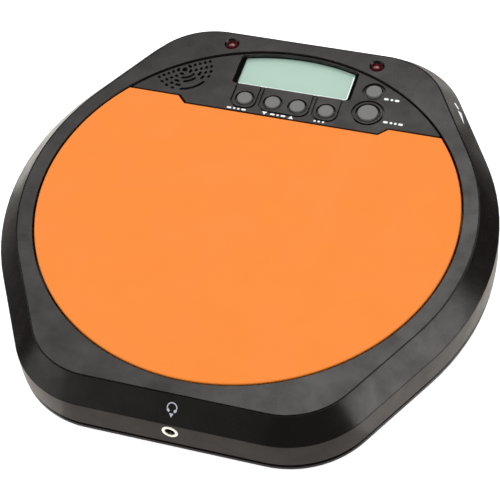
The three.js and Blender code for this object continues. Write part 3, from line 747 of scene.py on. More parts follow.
def case_section():
    """Outward distance and height of the outside of the upper case, from crest to seam."""
    groove_low = TOP - CREST_GROOVE_DEPTH
    slope_start = 0.25 * MM
    chamfer = 0.12 * MM
    groove = [
        (slope_start - CREST_GROOVE - chamfer, TOP),
        (slope_start - CREST_GROOVE, TOP - chamfer),
        (slope_start - CREST_GROOVE, groove_low),
        (slope_start, groove_low - STEP),
    ]
    slope_and_wall = [
        (slope_start, TOP - slope_start * SLOPE_STEEPNESS),
        (BEVEL_OUT, TOP - BEVEL_DROP),
        (BEVEL_OUT, SEAM),
    ]
    return groove + rounded(slope_and_wall, SHOULDER_RADIUS, steps=5, closed=False)


def case_shell():
    """The upper case as one closed ring of skin round the well."""
    lip = 0.5 * MM
    rings = [raised(circle_beside_case(WELL_RADIUS), TRAY_BOTTOM)]
    for shift, z in over_edge(lip, TOP):
        rings.append(raised(circle_beside_case(WELL_RADIUS + shift), z))
    for out, z in case_section():
        rings.append(raised(case_outline(out), z))
    inner_wall = BEVEL_OUT - WALL
    inner_crest = WALL / SLOPE_STEEPNESS - WALL / math.sin(math.atan(SLOPE_STEEPNESS))
    inner_shoulder = TOP - WALL - (inner_wall - inner_crest) * SLOPE_STEEPNESS
    rings.append(raised(case_outline(inner_wall), SEAM))
    rings.append(raised(case_outline(inner_wall), inner_shoulder))
    rings.append(raised(case_outline(inner_crest), TOP - WALL))
    rings.append(raised(circle_beside_case(TRAY_RADIUS), TOP - WALL))
    rings.append(raised(circle_beside_case(TRAY_RADIUS), TRAY_BOTTOM))
    return loft("upper_shell", rings, closed=True)


def band(inner, outer, back):
    """A stretch of ring behind the split line."""
    end = math.asin((PANEL_FRONT + PANEL_STEP + back) / inner)
    steps = round((math.pi - 2 * end) / CIRCLE_STEP)
    return (arc(0, 0, outer, end, math.pi - end, steps)
            + arc(0, 0, inner, math.pi - end, end, steps))


def screw_boss(place):
    """A post for one case screw, ending inside the skin above it."""
    at_side = abs(place.y) < BOSS_RADIUS
    crest = CREST if at_side else CORNER_CENTRE + CORNER_RADIUS
    beyond = max(place.to_2d().length + BOSS_RADIUS - crest, 0)
    boss_top = TOP - WALL / 2 - beyond * SLOPE_STEEPNESS
    return disc(place, BOSS_RADIUS, BOSS_BOTTOM, boss_top)


def volume_slot():
    """The cutter for the volume wheel's opening in the right rear wall."""
    height = (wheel_low.z + wheel_high.z) / 2
    clearance = 0.6 * MM
    half_height = (wheel_high.z - wheel_low.z) / 2 + clearance
    outline = rounded(rectangle(-SLOT_HALF_WIDTH, SLOT_HALF_WIDTH, -half_height, half_height), 1 * MM)
    rings = []
    for x in (WALL_REACH - 2 * WALL, WALL_REACH + WALL):
        rings.append([Vector((x, VOLUME_ALONG + point.x, height + point.y)) for point in outline])
    slot = loft("slot", rings)
    slot.data.transform(Matrix.Rotation(VOLUME_ANGLE, 4, "Z"))
    return slot


def led_cutters(centre):
    """The dish in the top face round one LED, and the hole through its floor."""
    floor = TOP - LED_DISH_DEPTH
    above = TOP + MM
    flare = 1.2 * MM
    side = [(0, floor), (LED_HOLE, floor), (LED_DISH, TOP), (LED_DISH + flare, above)]
    profile = rounded(side, 0.3 * MM, closed=False) + [(0, above)]
    dish = upright("dish", profile, centre)
    return [dish, disc(centre, LED_HOLE - STEP, TOP - 2 * WALL, floor + STEP)]


def make_upper_case():
    shell = case_shell()
    well_wall = TRAY_RADIUS - WELL_RADIUS
    under_ledge = band(WELL_RADIUS - MM, TRAY_RADIUS + MM, well_wall)
    shell = cut(shell, slab("under_ledge", under_ledge, TRAY_BOTTOM - MM, LEDGE_BOTTOM + STEP))
    tray = slab("tray", pad_outline(WELL_RADIUS + MM, well_wall), TRAY_BOTTOM + STEP, TRAY_FLOOR)
    wall_line = split_line(0) + split_line(well_wall)[::-1]
    tray_wall = slab("tray_wall", wall_line[::-1], TRAY_BOTTOM + 2 * STEP, LEDGE_TOP - STEP)
    ledge = slab("ledge", band(LEDGE_RADIUS, WELL_RADIUS + MM, well_wall / 2), LEDGE_BOTTOM, LEDGE_TOP)
    shell = join(shell, tray, tray_wall, ledge, *[screw_boss(place) for place in SCREW_CENTRES])
    cuts = [volume_slot()]
    for centre in LED_CENTRES.values():
        cuts += led_cutters(centre)
    jack = middle("headphone_jack_nut")
    outside = -WALL_REACH - 5 * MM
    inside = -WALL_REACH + 5 * MM
    cuts.append(rod(JACK_HOLE, (jack.x, outside, jack.z), (jack.x, inside, jack.z)))
    for place in SCREW_CENTRES:
        cuts.append(disc(place, SCREW_HOLE, BOSS_BOTTOM - 1.3 * MM, BOSS_HOLE_TOP, 24))
    room_top = TOP - WALL - STEP
    cuts.append(disc(middle("speaker_frame"), SPEAKER_ROOM, SPEAKER_ROOM_BOTTOM, room_top))
    half = window_high.x + 2 * MM
    room_low = (-half, LEDGE_RADIUS - 15 * MM, LEDGE_BOTTOM - MM)
    cuts.append(block("display_room", room_low, (half, TRAY_RADIUS + MM, room_top)))
    shell = cut(shell, *cuts)
    present(shell, "case_plastic", "upper_case")


LOWER_WALL = 1.5 * MM
PILLAR_RADIUS = 5 * MM
PILLAR_TOP = 8 * MM
SCREW_SEAT = 5.4 * MM
HEAD_BORE = 3.1 * MM
PIN_REACH = 1.2 * MM
DOOR_THICKNESS = 1.8 * MM
RECESS_LOW = Vector((-door_high.x + PIN_REACH - GAP, door_low.y - GAP, BASE_BOTTOM - MM))
RECESS_HIGH = Vector((door_high.x - PIN_REACH + GAP, door_high.y + GAP, door_low.z + 2.1 * MM))
CAVITY_LOW = RECESS_LOW + Vector((2.2, 2, 0)) * MM
CAVITY_HIGH = Vector((-CAVITY_LOW.x, RECESS_HIGH.y - 2 * MM, 16.3 * MM))
HINGE_Y = door_high.y - DOOR_THICKNESS / 2
HINGE_Z = door_low.z + DOOR_THICKNESS / 2
FEET = [f"foot_{end}_{side}" for end in ("front", "rear") for side in ("left", "right")]


def grown(low, high, sides, z_low, z_high):
    """The corners of a box moved outwards at its sides, between new heights."""
    return (low.x - sides, low.y - sides, z_low), (high.x + sides, high.y + sides, z_high)


def lower_section():
    """Outward distance and height of the lower case's rim, from the bottom up."""
    edge = 0.4 * MM
    chamfer = 0.15 * MM
    section = [(LOWER_OUT - shift, z) for shift, z in under_edge(edge, BASE_BOTTOM)]
    section += [(LOWER_OUT, NECK_BOTTOM - chamfer), (LOWER_OUT - chamfer, NECK_BOTTOM)]
    return section + [(NECK_OUT, NECK_BOTTOM), (NECK_OUT, LOWER_TOP)]


def potentiometer_seat():
    """The raised floor under the volume wheel's potentiometer."""
    inner, outer, half_width, top = -6.5 * MM, 3.2 * MM, 4.5 * MM, 8.7 * MM
    seat = block("seat", (inner, -half_width, BASE_BOTTOM + STEP), (outer, half_width, top))
    axis = middle("volume_wheel")
    turn = Matrix.Rotation(VOLUME_ANGLE, 4, "Z")
    seat.data.transform(Matrix.Translation((axis.x, axis.y, 0)) @ turn)
    return seat


def screw_bores(place):
    """The chamfered hole for one case screw's head, and the narrower one for its shank."""
    chamfer = 0.4 * MM
    wide = HEAD_BORE + chamfer
    under = BASE_BOTTOM - MM
    profile = [(0, under), (wide, under), (wide, BASE_BOTTOM), (HEAD_BORE, BASE_BOTTOM + chamfer),
               (HEAD_BORE, SCREW_SEAT), (0, SCREW_SEAT)]
    head_bore = upright("head_bore", profile, place)
    return [head_bore, disc(place, SCREW_HOLE, SCREW_SEAT - 0.4 * MM, PILLAR_TOP + MM, 24)]


def finger_notch():
    """The cutter for the shallow dish in front of the battery door."""
    under = BASE_BOTTOM - MM
    profile = [(0, BASE_BOTTOM + 0.9 * MM), (5 * MM, BASE_BOTTOM + 0.8 * MM), (8 * MM, BASE_BOTTOM),
               (8.5 * MM, under), (0, under)]
    return turned("finger_notch", profile, (0, RECESS_LOW.y, 0))


def make_lower_case():
    bottom = BASE_BOTTOM
    shell = loft("lower_shell", [raised(case_outline(out), z) for out, z in lower_section()])
    lip_out = BEVEL_OUT - WALL - GAP
    lip_top = LOWER_TOP + 2.8 * MM
    lip = slab("lip", case_outline(lip_out), LOWER_TOP - 0.5 * MM, lip_top, upper=0.3 * MM)
    inside = slab("inside", case_outline(lip_out - LOWER_WALL), FLOOR_TOP, lip_top + MM)
    shell = cut(join(shell, lip), inside)
    rim_top = RECESS_HIGH.z + LOWER_WALL
    box_top = CAVITY_HIGH.z + LOWER_WALL
    rim = block("rim", *grown(RECESS_LOW, RECESS_HIGH, 1.2 * MM, bottom + STEP, rim_top))
    box = block("box", *grown(CAVITY_LOW, CAVITY_HIGH, LOWER_WALL, bottom + 2 * STEP, box_top))
    pillars = []
    bores = []
    for place in SCREW_CENTRES:
        pillars.append(disc(place, PILLAR_RADIUS, bottom + STEP, PILLAR_TOP))
        bores += screw_bores(place)
    for foot in FEET:
        socket_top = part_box(foot)[1].z + GAP
        bores.append(disc(middle(foot), half_width(foot) + GAP, bottom - MM, socket_top, 40))
    shell = join(shell, rim, box, potentiometer_seat(), *pillars)
    pin_x = RECESS_HIGH.x + PIN_REACH
    bores.append(rod(0.8 * MM, (-pin_x, HINGE_Y, HINGE_Z), (pin_x, HINGE_Y, HINGE_Z)))
    bores.append(finger_notch())
    cavity = block("cavity", CAVITY_LOW, CAVITY_HIGH)
    recess = block("recess", RECESS_LOW, RECESS_HIGH)
    shell = cut(shell, cavity, recess, *bores)
    present(shell, "case_plastic", "lower_case")


def make_battery_door():
    """A rounded plate with a hinge barrel, a tongue, grip ridges and an arrow."""
    half = door_high.x - PIN_REACH
    bottom = door_low.z
    top = bottom + DOOR_THICKNESS
    outline = rectangle(-half, half, door_low.y, HINGE_Y)
    door = slab("battery_cover", outline, bottom, top, lower=0.4 * MM, upper=0.2 * MM)
    barrel = rod(DOOR_THICKNESS / 2, (-half, HINGE_Y, HINGE_Z), (half, HINGE_Y, HINGE_Z), 0.2 * MM)
    pin = rod(0.5 * MM, (door_low.x, HINGE_Y, HINGE_Z), (door_high.x, HINGE_Y, HINGE_Z), 0.15 * MM)
    tongue_low = (-5 * MM, CAVITY_LOW.y + 0.4 * MM, top - 0.5 * MM)
    tongue_high = (5 * MM, tongue_low[1] + 1.2 * MM, door_high.z)
    tongue = block("tongue", tongue_low, tongue_high, upper=0.4 * MM)
    door = join(door, barrel, pin, tongue)
    grooves = []
    grip_half = 11 * MM
    grip_pitch = 1.6 * MM
    for i in range(5):
        y = door_low.y + 4 * MM + i * grip_pitch
        across = rounded(rectangle(-grip_half, grip_half, y, y + grip_pitch / 2), 0.35 * MM)
        grooves.append(slab("grip", across, bottom - MM, bottom + 0.35 * MM))
    tip = Vector((0, door_low.y + 14 * MM))
    arrow = [Vector(corner) * MM + tip for corner in ((-3, 4), (0, 0), (3, 4))]
    grooves.append(slab("arrow", arrow, bottom - MM, bottom + 0.3 * MM))
    door = cut(door, *grooves)
    present(door, "case_plastic", "battery_door", body="battery_door")


def make_feet():
    """Rubber feet with rounded edges and a shallow hollow underneath."""
    hollow = 0.5 * MM
    for name in FEET:
        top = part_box(name)[1].z
        radius = half_width(name)
        corners = [(0, hollow), (0.4 * radius, hollow), (0.5 * radius, 0), (radius - 0.8 * MM, 0),
                   (radius, 1.1 * MM), (radius, top), (0, top)]
        profile = rounded(corners, 0.4 * MM, steps=4, closed=False)
        foot = upright(f"rubber_{name}", profile, middle(name))
        present(foot, "foot_rubber", name)


def make_screw(node, head_height, radius):
    """A pan-head screw pointing up: turned head and ridged shank, with a cross recess."""
    low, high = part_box(node)
    centre = middle(node)
    head = half_width(node)
    seat = low.z + head_height
    profile = [(0, low.z), (0.55 * head, low.z + 0.06 * MM), (0.86 * head, low.z + 0.35 * MM),
               (head, low.z + 0.9 * MM), (head, seat - 0.1 * MM), (head - 0.1 * MM, seat), (radius, seat)]
    pitch = 0.9 * MM
    turns = int((high.z - seat - 1.5 * MM) / pitch)
    for i in range(turns):
        z = seat + (i + 0.3) * pitch
        profile += [(radius - 0.25 * MM, z), (radius, z + 0.4 * pitch)]
    profile += [(0.6 * radius, high.z - 0.6 * MM), (0, high.z)]
    screw = upright(f"steel_{node}", profile, centre, 32)
    long = 0.52 * head
    wide = 0.13 * head
    depth = low.z + 0.85 * MM
    bars = []
    for x, y in ((long, wide), (wide, long)):
        bar = rectangle(centre.x - x, centre.x + x, centre.y - y, centre.y + y)
        bars.append(slab("bar", bar, low.z - MM, depth))
    present(cut(screw, *bars), "steel", node)


def make_screws():
    for i in range(1, 7):
        make_screw(f"case_screw_{i}", 1.8 * MM, 1.4 * MM)
    for i in range(1, 3):
        make_screw(f"board_screw_{i}", 1.4 * MM, 1 * MM)


# ---------------------------------- playing surface


def make_drum_pad():
    """The rubber sheet, a little smaller than its well so that a dark line shows round it."""
    outline = rounded(pad_outline(PAD_RADIUS - 0.25 * MM, -0.35 * MM), 0.9 * MM)
    pad = slab("practice_surface", outline, PAD_BOTTOM, TOP, lower=0.3 * MM, upper=0.8 * MM)
    present(pad, "pad_rubber", "drum_pad")


# ---------------------------------- control panel

PRINT = 0.06 * MM
PRINT_SINK = 0.02 * MM
KEYS = ("rhythm", "tempo_down", "tempo_up", "beat", "mode", "power")
KEY_CENTRES = {name: middle(f"{name}_switch") for name in KEYS}
CAP_RADII = {"mode": 3.9 * MM, "power": 5 * MM}
HOLE_RADII = {"mode": 4.9 * MM, "power": 6.2 * MM}
RING_RADII = {"mode": 5.3 * MM, "power": 7.75 * MM}
CAP_RADIUS = 3.8 * MM
HOLE_RADIUS = 4.9 * MM
GROOVE_WIDTH = 1.05 * MM
GROOVE_DEPTH = 1.2 * MM
WINDOW_LAP = 1 * MM
WINDOW_HALF_WIDTH = window_high.x - WINDOW_LAP
WINDOW_FRONT = window_low.y + WINDOW_LAP
WINDOW_RADIUS = 100.9 * MM
WINDOW_REAR_LAP = 0.35 * MM
MASK_SIDE = 1.6 * MM
MASK_FRONT = 1.5 * MM
GRILLE_CENTRE = Vector((-57.1, 80.2)) * MM
GRILLE_PITCH = 2.6 * MM
GRILLE_FIRST = 3.3 * MM
GRILLE_HOLE = 1.3 * MM
GRILLE_STEP = 3.63 * MM
GRILLE_RIM = 99.55 * MM
GRILLE_COUNTS = (2, 2, 3, 4, 4)  # holes on each side of the middle, ring by ring
GRILLE_SLOTS = (0, 30, 19, 0, 26)  # half spans of the middle slots, in degrees
GRILLE_LONG_RINGS = (2, 3)  # rings whose holes nearest the middle are longer


def window_outline(side_lap, front_lap, rear_lap):
    """The display opening grown by these laps: its rear edge follows the panel's rim."""
    side = WINDOW_HALF_WIDTH + side_lap
    radius = WINDOW_RADIUS + rear_lap
    front = WINDOW_FRONT - front_lap
    end = math.acos(side / radius)
    return [Vector((-side, front)), Vector((side, front))] + arc(0, 0, radius, end, math.pi - end, 24)


def grille_slot(radius, centre_angle, half_span):
    """A slot bent about the grille's centre, with round ends."""
    x, y = GRILLE_CENTRE
    half = GRILLE_HOLE / 2
    start = centre_angle - half_span
    end = centre_angle + half_span
    steps = max(2, round(half_span / (4 * DEGREE)))
    outer = arc(x, y, radius + half, start, end, steps)
    inner = arc(x, y, radius - half, end, start, steps)
    far = GRILLE_CENTRE + radius * Vector((math.cos(end), math.sin(end)))
    near = GRILLE_CENTRE + radius * Vector((math.cos(start), math.sin(start)))
    far_end = arc(far.x, far.y, half, end, end + math.pi, 6)[1:-1]
    near_end = arc(near.x, near.y, half, start + math.pi, start + 2 * math.pi, 6)[1:-1]
    return outer + far_end + inner + near_end


def grille_holes():
    """Rings of holes, alike on both sides of the line to the pad's centre."""
    to_pad = math.atan2(-GRILLE_CENTRE.y, -GRILLE_CENTRE.x)
    away = GRILLE_CENTRE.length
    holes = [circle(*GRILLE_CENTRE, GRILLE_HOLE, 24)]
    for ring, (count, slot) in enumerate(zip(GRILLE_COUNTS, GRILLE_SLOTS)):
        radius = GRILLE_FIRST + ring * GRILLE_PITCH
        first = math.acos((away ** 2 + radius ** 2 - GRILLE_RIM ** 2) / (2 * away * radius))
        short = (0.25 if ring else 0.6) * MM / radius
        for i in range(count):
            turn = first - i * GRILLE_STEP / radius
            long = i == count - 1 and ring in GRILLE_LONG_RINGS
            span = 3.2 * short if long else short
            for side in (-1, 1):
                holes.append(grille_slot(radius, to_pad + side * turn, span))
        if slot:
            holes.append(grille_slot(radius, to_pad, slot * DEGREE))
    return holes


def key_groove(x_low, x_high):
    """A U-shaped groove round one key or a pair, open at the display."""
    start = WINDOW_FRONT + MM
    front = KEY_CENTRES["rhythm"].y - 6.5 * MM
    bend = 5 * MM
    corners = [(x_low, start), (x_low, front), (x_high, front), (x_high, start)]
    return stroke(rounded(corners, bend, steps=8, closed=False), GROOVE_WIDTH)


def panel_grooves():
    """Cutters for the grooves between the front keys and the rings round the two others."""
    floor = PANEL_TOP - GROOVE_DEPTH
    above = PANEL_TOP + MM
    side = 6.35 * MM  # from a key's middle to the groove beside it
    grooves = []
    for left, right in (("rhythm", "rhythm"), ("tempo_down", "tempo_up"), ("beat", "beat")):
        outline = key_groove(KEY_CENTRES[left].x - side, KEY_CENTRES[right].x + side)
        grooves.append(slab("groove", outline, floor, above))
    half = 0.55 * MM
    for name, ring in RING_RADII.items():
        section = [(ring - half, floor), (ring + half, floor), (ring + half, above), (ring - half, above)]
        grooves.append(turned_ring("ring_groove", section, on_table(KEY_CENTRES[name])))
    return grooves


def make_control_panel():
    """The plate with its window, key holes and grille, and the grooves cut in its face."""
    thickness = 2 * MM
    edge = rounded(panel_outline(PAD_RADIUS + 0.15 * MM, 0.9 * MM), 0.6 * MM)
    window = rounded(window_outline(0.5 * MM, 0, 0), 1.4 * MM)
    holes = [circle(c.x, c.y, HOLE_RADII.get(name, HOLE_RADIUS)) for name, c in KEY_CENTRES.items()]
    panel = plate("control_plate", [edge, window, *holes, *grille_holes()],
                  PANEL_TOP - thickness, PANEL_TOP, 0.2 * MM)
    panel = cut(panel, *panel_grooves())
    present(panel, "panel_plastic", "control_panel")


def make_display():
    """The clear sheet, the black mask round it and a painted highlight: a bright line along the two sides
    whose edges catch the light.
    """
    outline = rounded(window_outline(WINDOW_LAP, WINDOW_LAP, WINDOW_REAR_LAP), 0.8 * MM)
    sheet = slab("display_window", outline, window_low.z, window_high.z, 0.1 * MM, 0.1 * MM)
    present(sheet, "window_acrylic", "lcd_window")
    face = window_high.z
    outer = window_outline(0.8 * MM, 0.8 * MM, 0.3 * MM)
    inner = rounded(window_outline(-MASK_SIDE, -MASK_FRONT, -0.2 * MM), 1.5 * MM)
    mask = plate("display_mask", [outer, inner], face - PRINT_SINK, face + 0.07 * MM, 0.01 * MM)
    present(mask, "panel_plastic", material=MASK_PRINT)
    # Painted highlight: a bright line only along the front and right sides, where the sheet's edges catch
    # the light.
    width = 0.65 * MM
    right = WINDOW_HALF_WIDTH - MASK_SIDE - width / 2
    front = WINDOW_FRONT + MASK_FRONT + width / 2
    rear = math.sqrt(WINDOW_RADIUS ** 2 - right ** 2) - 2.2 * MM
    path = rounded([(-right, front), (right, front), (right, rear)], 1.4 * MM, steps=8, closed=False)
    line = slab("display_painted_highlight", stroke(path, width), face - PRINT_SINK, face + 0.05 * MM)
    present(line, "display_glass", material=EDGE_HIGHLIGHT_PAINT)


def make_keys():
    """Each key: a stem, a flange under the panel and a crowned cap."""
    flange_top = 27.6 * MM
    flange_bottom = 26.6 * MM
    stem = 1.6 * MM
    crown = 0.15 * MM
    for name, centre in KEY_CENTRES.items():
        low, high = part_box(f"{name}_button")
        cap = CAP_RADII.get(name, CAP_RADIUS)
        flange = half_width(f"{name}_button")
        corners = [(0, low.z), (stem, low.z), (stem, flange_bottom),
                   (flange, flange_bottom), (flange, flange_top), (cap, flange_top),
                   (cap, high.z - crown), (cap / 2, high.z - crown / 4), (0, high.z)]
        profile = rounded(corners, 0.4 * MM, steps=5, closed=False)
        key = upright(f"{name}_key", profile, centre, 56)
        present(key, "key_rubber", f"{name}_button", body=f"{name}_button")


def make_leds():
    """Each lens: a flange under the dish and a low dome."""
    radius = 3 * MM
    rise = 1.3 * MM
    steps = 10
    for side, centre in LED_CENTRES.items():
        low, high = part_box(f"led_{side}")
        flange = half_width(f"led_{side}")
        flange_top = low.z + 1.1 * MM
        dome = []
        for i in range(steps + 1):
            angle = 90 * DEGREE * i / steps
            dome.append((radius * math.cos(angle), high.z - rise + rise * math.sin(angle)))
        profile = [(0, low.z), (flange, low.z), (flange, flange_top), (radius, flange_top), *dome]
        led = upright(f"led_lens_{side}", profile, centre)
        present(led, "red_lens", f"led_{side}")


# ---------------------------------- headphone socket and volume wheel


def make_headphone_jack():
    """A black socket body with a pale ring round its mouth, whitened as a painted highlight, and a sprung
    contact inside.
    """
    low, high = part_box("headphone_jack_body")
    centre = middle("headphone_jack_nut")
    body_front = -WALL_REACH + WALL + GAP
    face = low.y + 0.5 * MM
    body = block("jack_socket", (low.x, body_front, low.z), high, 0.4 * MM, 0.4 * MM)
    bush = rod(2.8 * MM, (centre.x, face, centre.z), (centre.x, body_front + MM, centre.z), 0.2 * MM, 48)
    bore_end = high.y - 2 * MM
    bore = rod(1.8 * MM, (centre.x, face - MM, centre.z), (centre.x, bore_end, centre.z), steps=40)
    socket = cut(join(body, bush), bore)
    present(socket, "switch_plastic", "headphone_jack_body")
    spring_low = (centre.x - 0.7 * MM, face + 0.3 * MM, centre.z - 1.75 * MM)
    spring_high = (centre.x + 0.5 * MM, face + 6 * MM, centre.z - 1.1 * MM)
    spring = block("jack_contact", spring_low, spring_high, 0.2 * MM, 0.2 * MM)
    present(spring, "brass")
    radius = half_width("headphone_jack_nut")
    hole = 2.45 * MM
    corners = [(hole, -nut_high.y), (radius, -nut_high.y), (radius, -nut_low.y), (hole, -nut_low.y)]
    profile = rounded(corners, 0.34 * MM, steps=5)
    ring = turned_ring("jack_ring", profile, (centre.x, 0, centre.z), (0, -1, 0))
    present(ring, "nickel", "headphone_jack_nut")


def make_volume_wheel():
    """A knurled wheel with rounded teeth and a dished upper face."""
    centre = middle("volume_wheel")
    reach = half_width("volume_wheel")
    teeth = 30
    tooth_depth = 0.5 * MM
    steps = 8 * teeth

    def toothed(shrink, z):
        ring = []
        for i in range(steps):
            angle = 2 * math.pi * i / steps + VOLUME_ANGLE
            radius = reach - shrink - tooth_depth / 2 * (1 - math.cos(teeth * (angle - VOLUME_ANGLE)))
            x = centre.x + radius * math.cos(angle)
            y = centre.y + radius * math.sin(angle)
            ring.append(Vector((x, y, z)))
        return ring

    def even(radius, z):
        points = circle(0, 0, radius, steps)
        turn = Matrix.Rotation(VOLUME_ANGLE, 2)
        return raised([turn @ p + centre.to_2d() for p in points], z)

    bottom = wheel_low.z
    top = wheel_high.z
    edge = 0.4 * MM
    shaft = 1.6 * MM
    dish = top - 0.3 * MM
    rings = [even(shaft, bottom), toothed(edge, bottom), toothed(0.1 * MM, bottom + 0.15 * MM),
             toothed(0, bottom + edge), toothed(0, top - edge), toothed(0.1 * MM, top - 0.15 * MM),
             toothed(edge, top), even(6.3 * MM, top), even(6 * MM, dish),
             even(2.6 * MM, dish), even(2.4 * MM, top), even(shaft, top)]
    wheel = loft("volume_dial", rings, closed=True)
    present(wheel, "case_plastic", "volume_wheel", body="volume_wheel")


# ---------------------------------- batteries


def make_cell(index):
    """A steel can in a printed sleeve, with its raised positive end."""
    node = f"battery_cell_{index}"
    low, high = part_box(node)
    centre = middle(node)
    half = half_width(node)
    radius = (high.y - low.y) / 2
    direction = (1 if index % 2 else -1, 0, 0)
    steel = radius - 0.25 * MM
    pip = 1.9 * MM
    can = [(0, -half + 0.2 * MM), (0.72 * radius, -half + 0.2 * MM), (0.78 * radius, -half),
           (radius - 0.7 * MM, -half), (steel, -half + 0.5 * MM),
           (steel, half - 1.9 * MM), (radius - 0.9 * MM, half - 1.2 * MM),
           (pip, half - 1.15 * MM), (pip, half - 0.2 * MM), (pip - 0.3 * MM, half), (0, half)]
    present(turned(f"cell_can_{index}", can, centre, direction), "steel", node)
    wrap_inside = radius - 0.24 * MM
    wrap_edge = radius - 0.05 * MM
    band_start = half - 11 * MM
    for name, start, end, material in (("sleeve", -half + 0.5 * MM, band_start, MATERIALS["cell_wrap"]),
                                       ("band", band_start, half - 1.6 * MM, GREY_PRINT)):
        section = [(wrap_inside, start), (wrap_edge, start), (radius, start + 0.2 * MM),
                   (radius, end - 0.2 * MM), (wrap_edge, end), (wrap_inside, end)]
        piece = turned_ring(f"cell_{name}_{index}", section, centre, direction, 48)
        present(piece, "cell_wrap", material=material)


def make_cell_spring(index, side, inner):
    """A coil that narrows from the contact plate to the cell's flat end."""
    cell = f"battery_cell_{index}"
    place = middle(cell)
    reach = abs(inner) - max(abs(corner.x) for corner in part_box(cell)) - GAP
    wire = 0.25 * MM
    turns = 3.25
    steps = 90
    path = []
    for i in range(steps + 1):
        share = i / steps
        angle = 2 * math.pi * turns * share
        radius = (3.2 - 1.5 * share) * MM
        x = inner - side * (STEP + (reach - wire - STEP) * share)
        path.append(Vector((x, place.y + radius * math.cos(angle), place.z + radius * math.sin(angle))))
    present(tube(f"cell_spring_{index}", path, wire, Vector((1, 0, 0))), "steel")


def make_contact(node, side, sprung, *flat):
    """A contact plate with a coil spring for one cell and a raised button for another."""
    low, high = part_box(node)
    thickness = 0.4 * MM
    back = side * max(abs(low.x), abs(high.x))
    inner = back - side * thickness
    outline = rounded(rectangle(low.y, high.y, low.z, high.z), 1 * MM)
    rings = [[Vector((x, p.x, p.y)) for p in outline] for x in sorted((inner, back))]
    contact = loft(node.replace("battery", "cell"), rings)
    for index in flat:
        place = middle(f"battery_cell_{index}")
        button = [(0, -0.1 * MM), (3 * MM, -0.1 * MM), (1.8 * MM, 0.8 * MM), (1.2 * MM, 1 * MM), (0, 1 * MM)]
        contact = join(contact, turned("button", button, (inner, place.y, place.z), (-side, 0, 0)))
    if sprung:
        make_cell_spring(sprung, side, inner)
    present(contact, "nickel", node, material=MATERIALS["steel"])


def make_batteries():
    for index in range(1, 5):
        make_cell(index)
    make_contact("battery_contact_positive", 1, None, 1)
    make_contact("battery_contact_negative", 1, 4)
    make_contact("battery_link_right", 1, 2, 3)
    make_contact("battery_link_left_front", -1, 1, 2)
    make_contact("battery_link_left_rear", -1, 3, 4)


# ---------------------------------- printed marks


def panel_print(name, outline):
    """A thin printed shape on the control panel."""
    return slab(name, outline, PANEL_TOP - PRINT_SINK, PANEL_TOP + PRINT)


def make_dash_row(name, x, y, lengths, thickness):
    """A row of dashes and dots with round ends, standing for a printed word."""
    gap = 0.9 * MM
    half = thickness / 2
    marks = []
    for length in lengths:
        end = max(length - half, 1.02 * half)  # even a dot keeps a trace of straight side
        near = arc(x + half, y, half, 90 * DEGREE, 270 * DEGREE, 8)
        far = arc(x + end, y, half, -90 * DEGREE, 90 * DEGREE, 8)
        marks.append(panel_print("dash", near + far))
        x += length + gap
    row = join(marks[0], *marks[1:])
    row.name = name
    present(row, "panel_plastic", material=WHITE_PRINT)


def make_triangle(name, x, y, height, up):
    """A small arrowhead that points to the rear or to the front."""
    half = 1.3 * MM
    base = y if up else y + height
    tip = y + height if up else y
    corners = [Vector((x - half, base)), Vector((x + half, base)), Vector((x, tip))]
    if not up:
        corners.reverse()
    present(panel_print(name, corners), "panel_plastic", material=WHITE_PRINT)


def make_panel_marks():
    """Generic dashes, dots and arrows where the real panel has printed words."""
    row = 59.6 * MM
    long = 2.4 * MM
    dot = 1.25 * MM
    thin = 1.1 * MM
    thick = 1.4 * MM
    make_dash_row("rhythm_mark", -28.2 * MM, row, (long, dot, dot, long), thin)
    make_triangle("slower_mark", -8.6 * MM, row - 1 * MM, 2 * MM, up=False)
    make_dash_row("tempo_mark", -5.6 * MM, row, (long, dot, long), thin)
    make_triangle("faster_mark", 5.1 * MM, row - 1 * MM, 2 * MM, up=True)
    make_dash_row("beat_mark", 16.6 * MM, row + 0.3 * MM, (dot, dot, dot), thin)
    make_dash_row("mode_mark", 47 * MM, 81.6 * MM, (long, dot, long), thick)
    make_dash_row("power_mark", 50.2 * MM, 66.5 * MM, (long, dot, dot, long), thick)


def on_slope(angle, along, down, proud):
    """A place on the sloped edge whose outward direction is this angle."""
    tilt = math.atan(SLOPE_STEEPNESS)
    out = CREST + down * math.cos(tilt) + proud * math.sin(tilt)
    x = out * math.cos(angle) - along * math.sin(angle)
    y = out * math.sin(angle) + along * math.cos(angle)
    return Vector((x, y, TOP - down * math.sin(tilt) + proud * math.cos(tilt)))


def slope_mark(name, angle, outline):
    """A thin printed shape on the sloped edge, drawn along and down it."""
    rings = [[on_slope(angle, p.x, p.y, proud) for p in outline] for proud in (-PRINT_SINK, PRINT)]
    return loft(name, rings)


def make_headphone_mark():
    """A generic headphone sign over the socket: a headband, two ear cups and an arrow."""
    front = -90 * DEGREE
    x, y = 0.45 * MM, 5.9 * MM
    radius = 2.15 * MM
    opening = 38 * DEGREE
    band_path = arc(x, y, radius, 90 * DEGREE + opening, 450 * DEGREE - opening, 24)
    mark = slope_mark("headphone_mark", front, stroke(band_path, 0.5 * MM))
    for side in (-1, 1):
        end = 90 * DEGREE + side * (opening + 8 * DEGREE)
        spread = 17 * DEGREE
        cup = stroke(arc(x, y, radius, end - spread, end + spread, 6), 1.1 * MM)
        mark = join(mark, slope_mark("cup", front, cup))
    tip = [(x - 1.05 * MM, 8.6 * MM), (x, 10.5 * MM), (x + 1.05 * MM, 8.6 * MM)]
    mark = join(mark, slope_mark("arrow", front, [Vector(c) for c in tip]))
    present(mark, "case_plastic", material=GREY_PRINT)


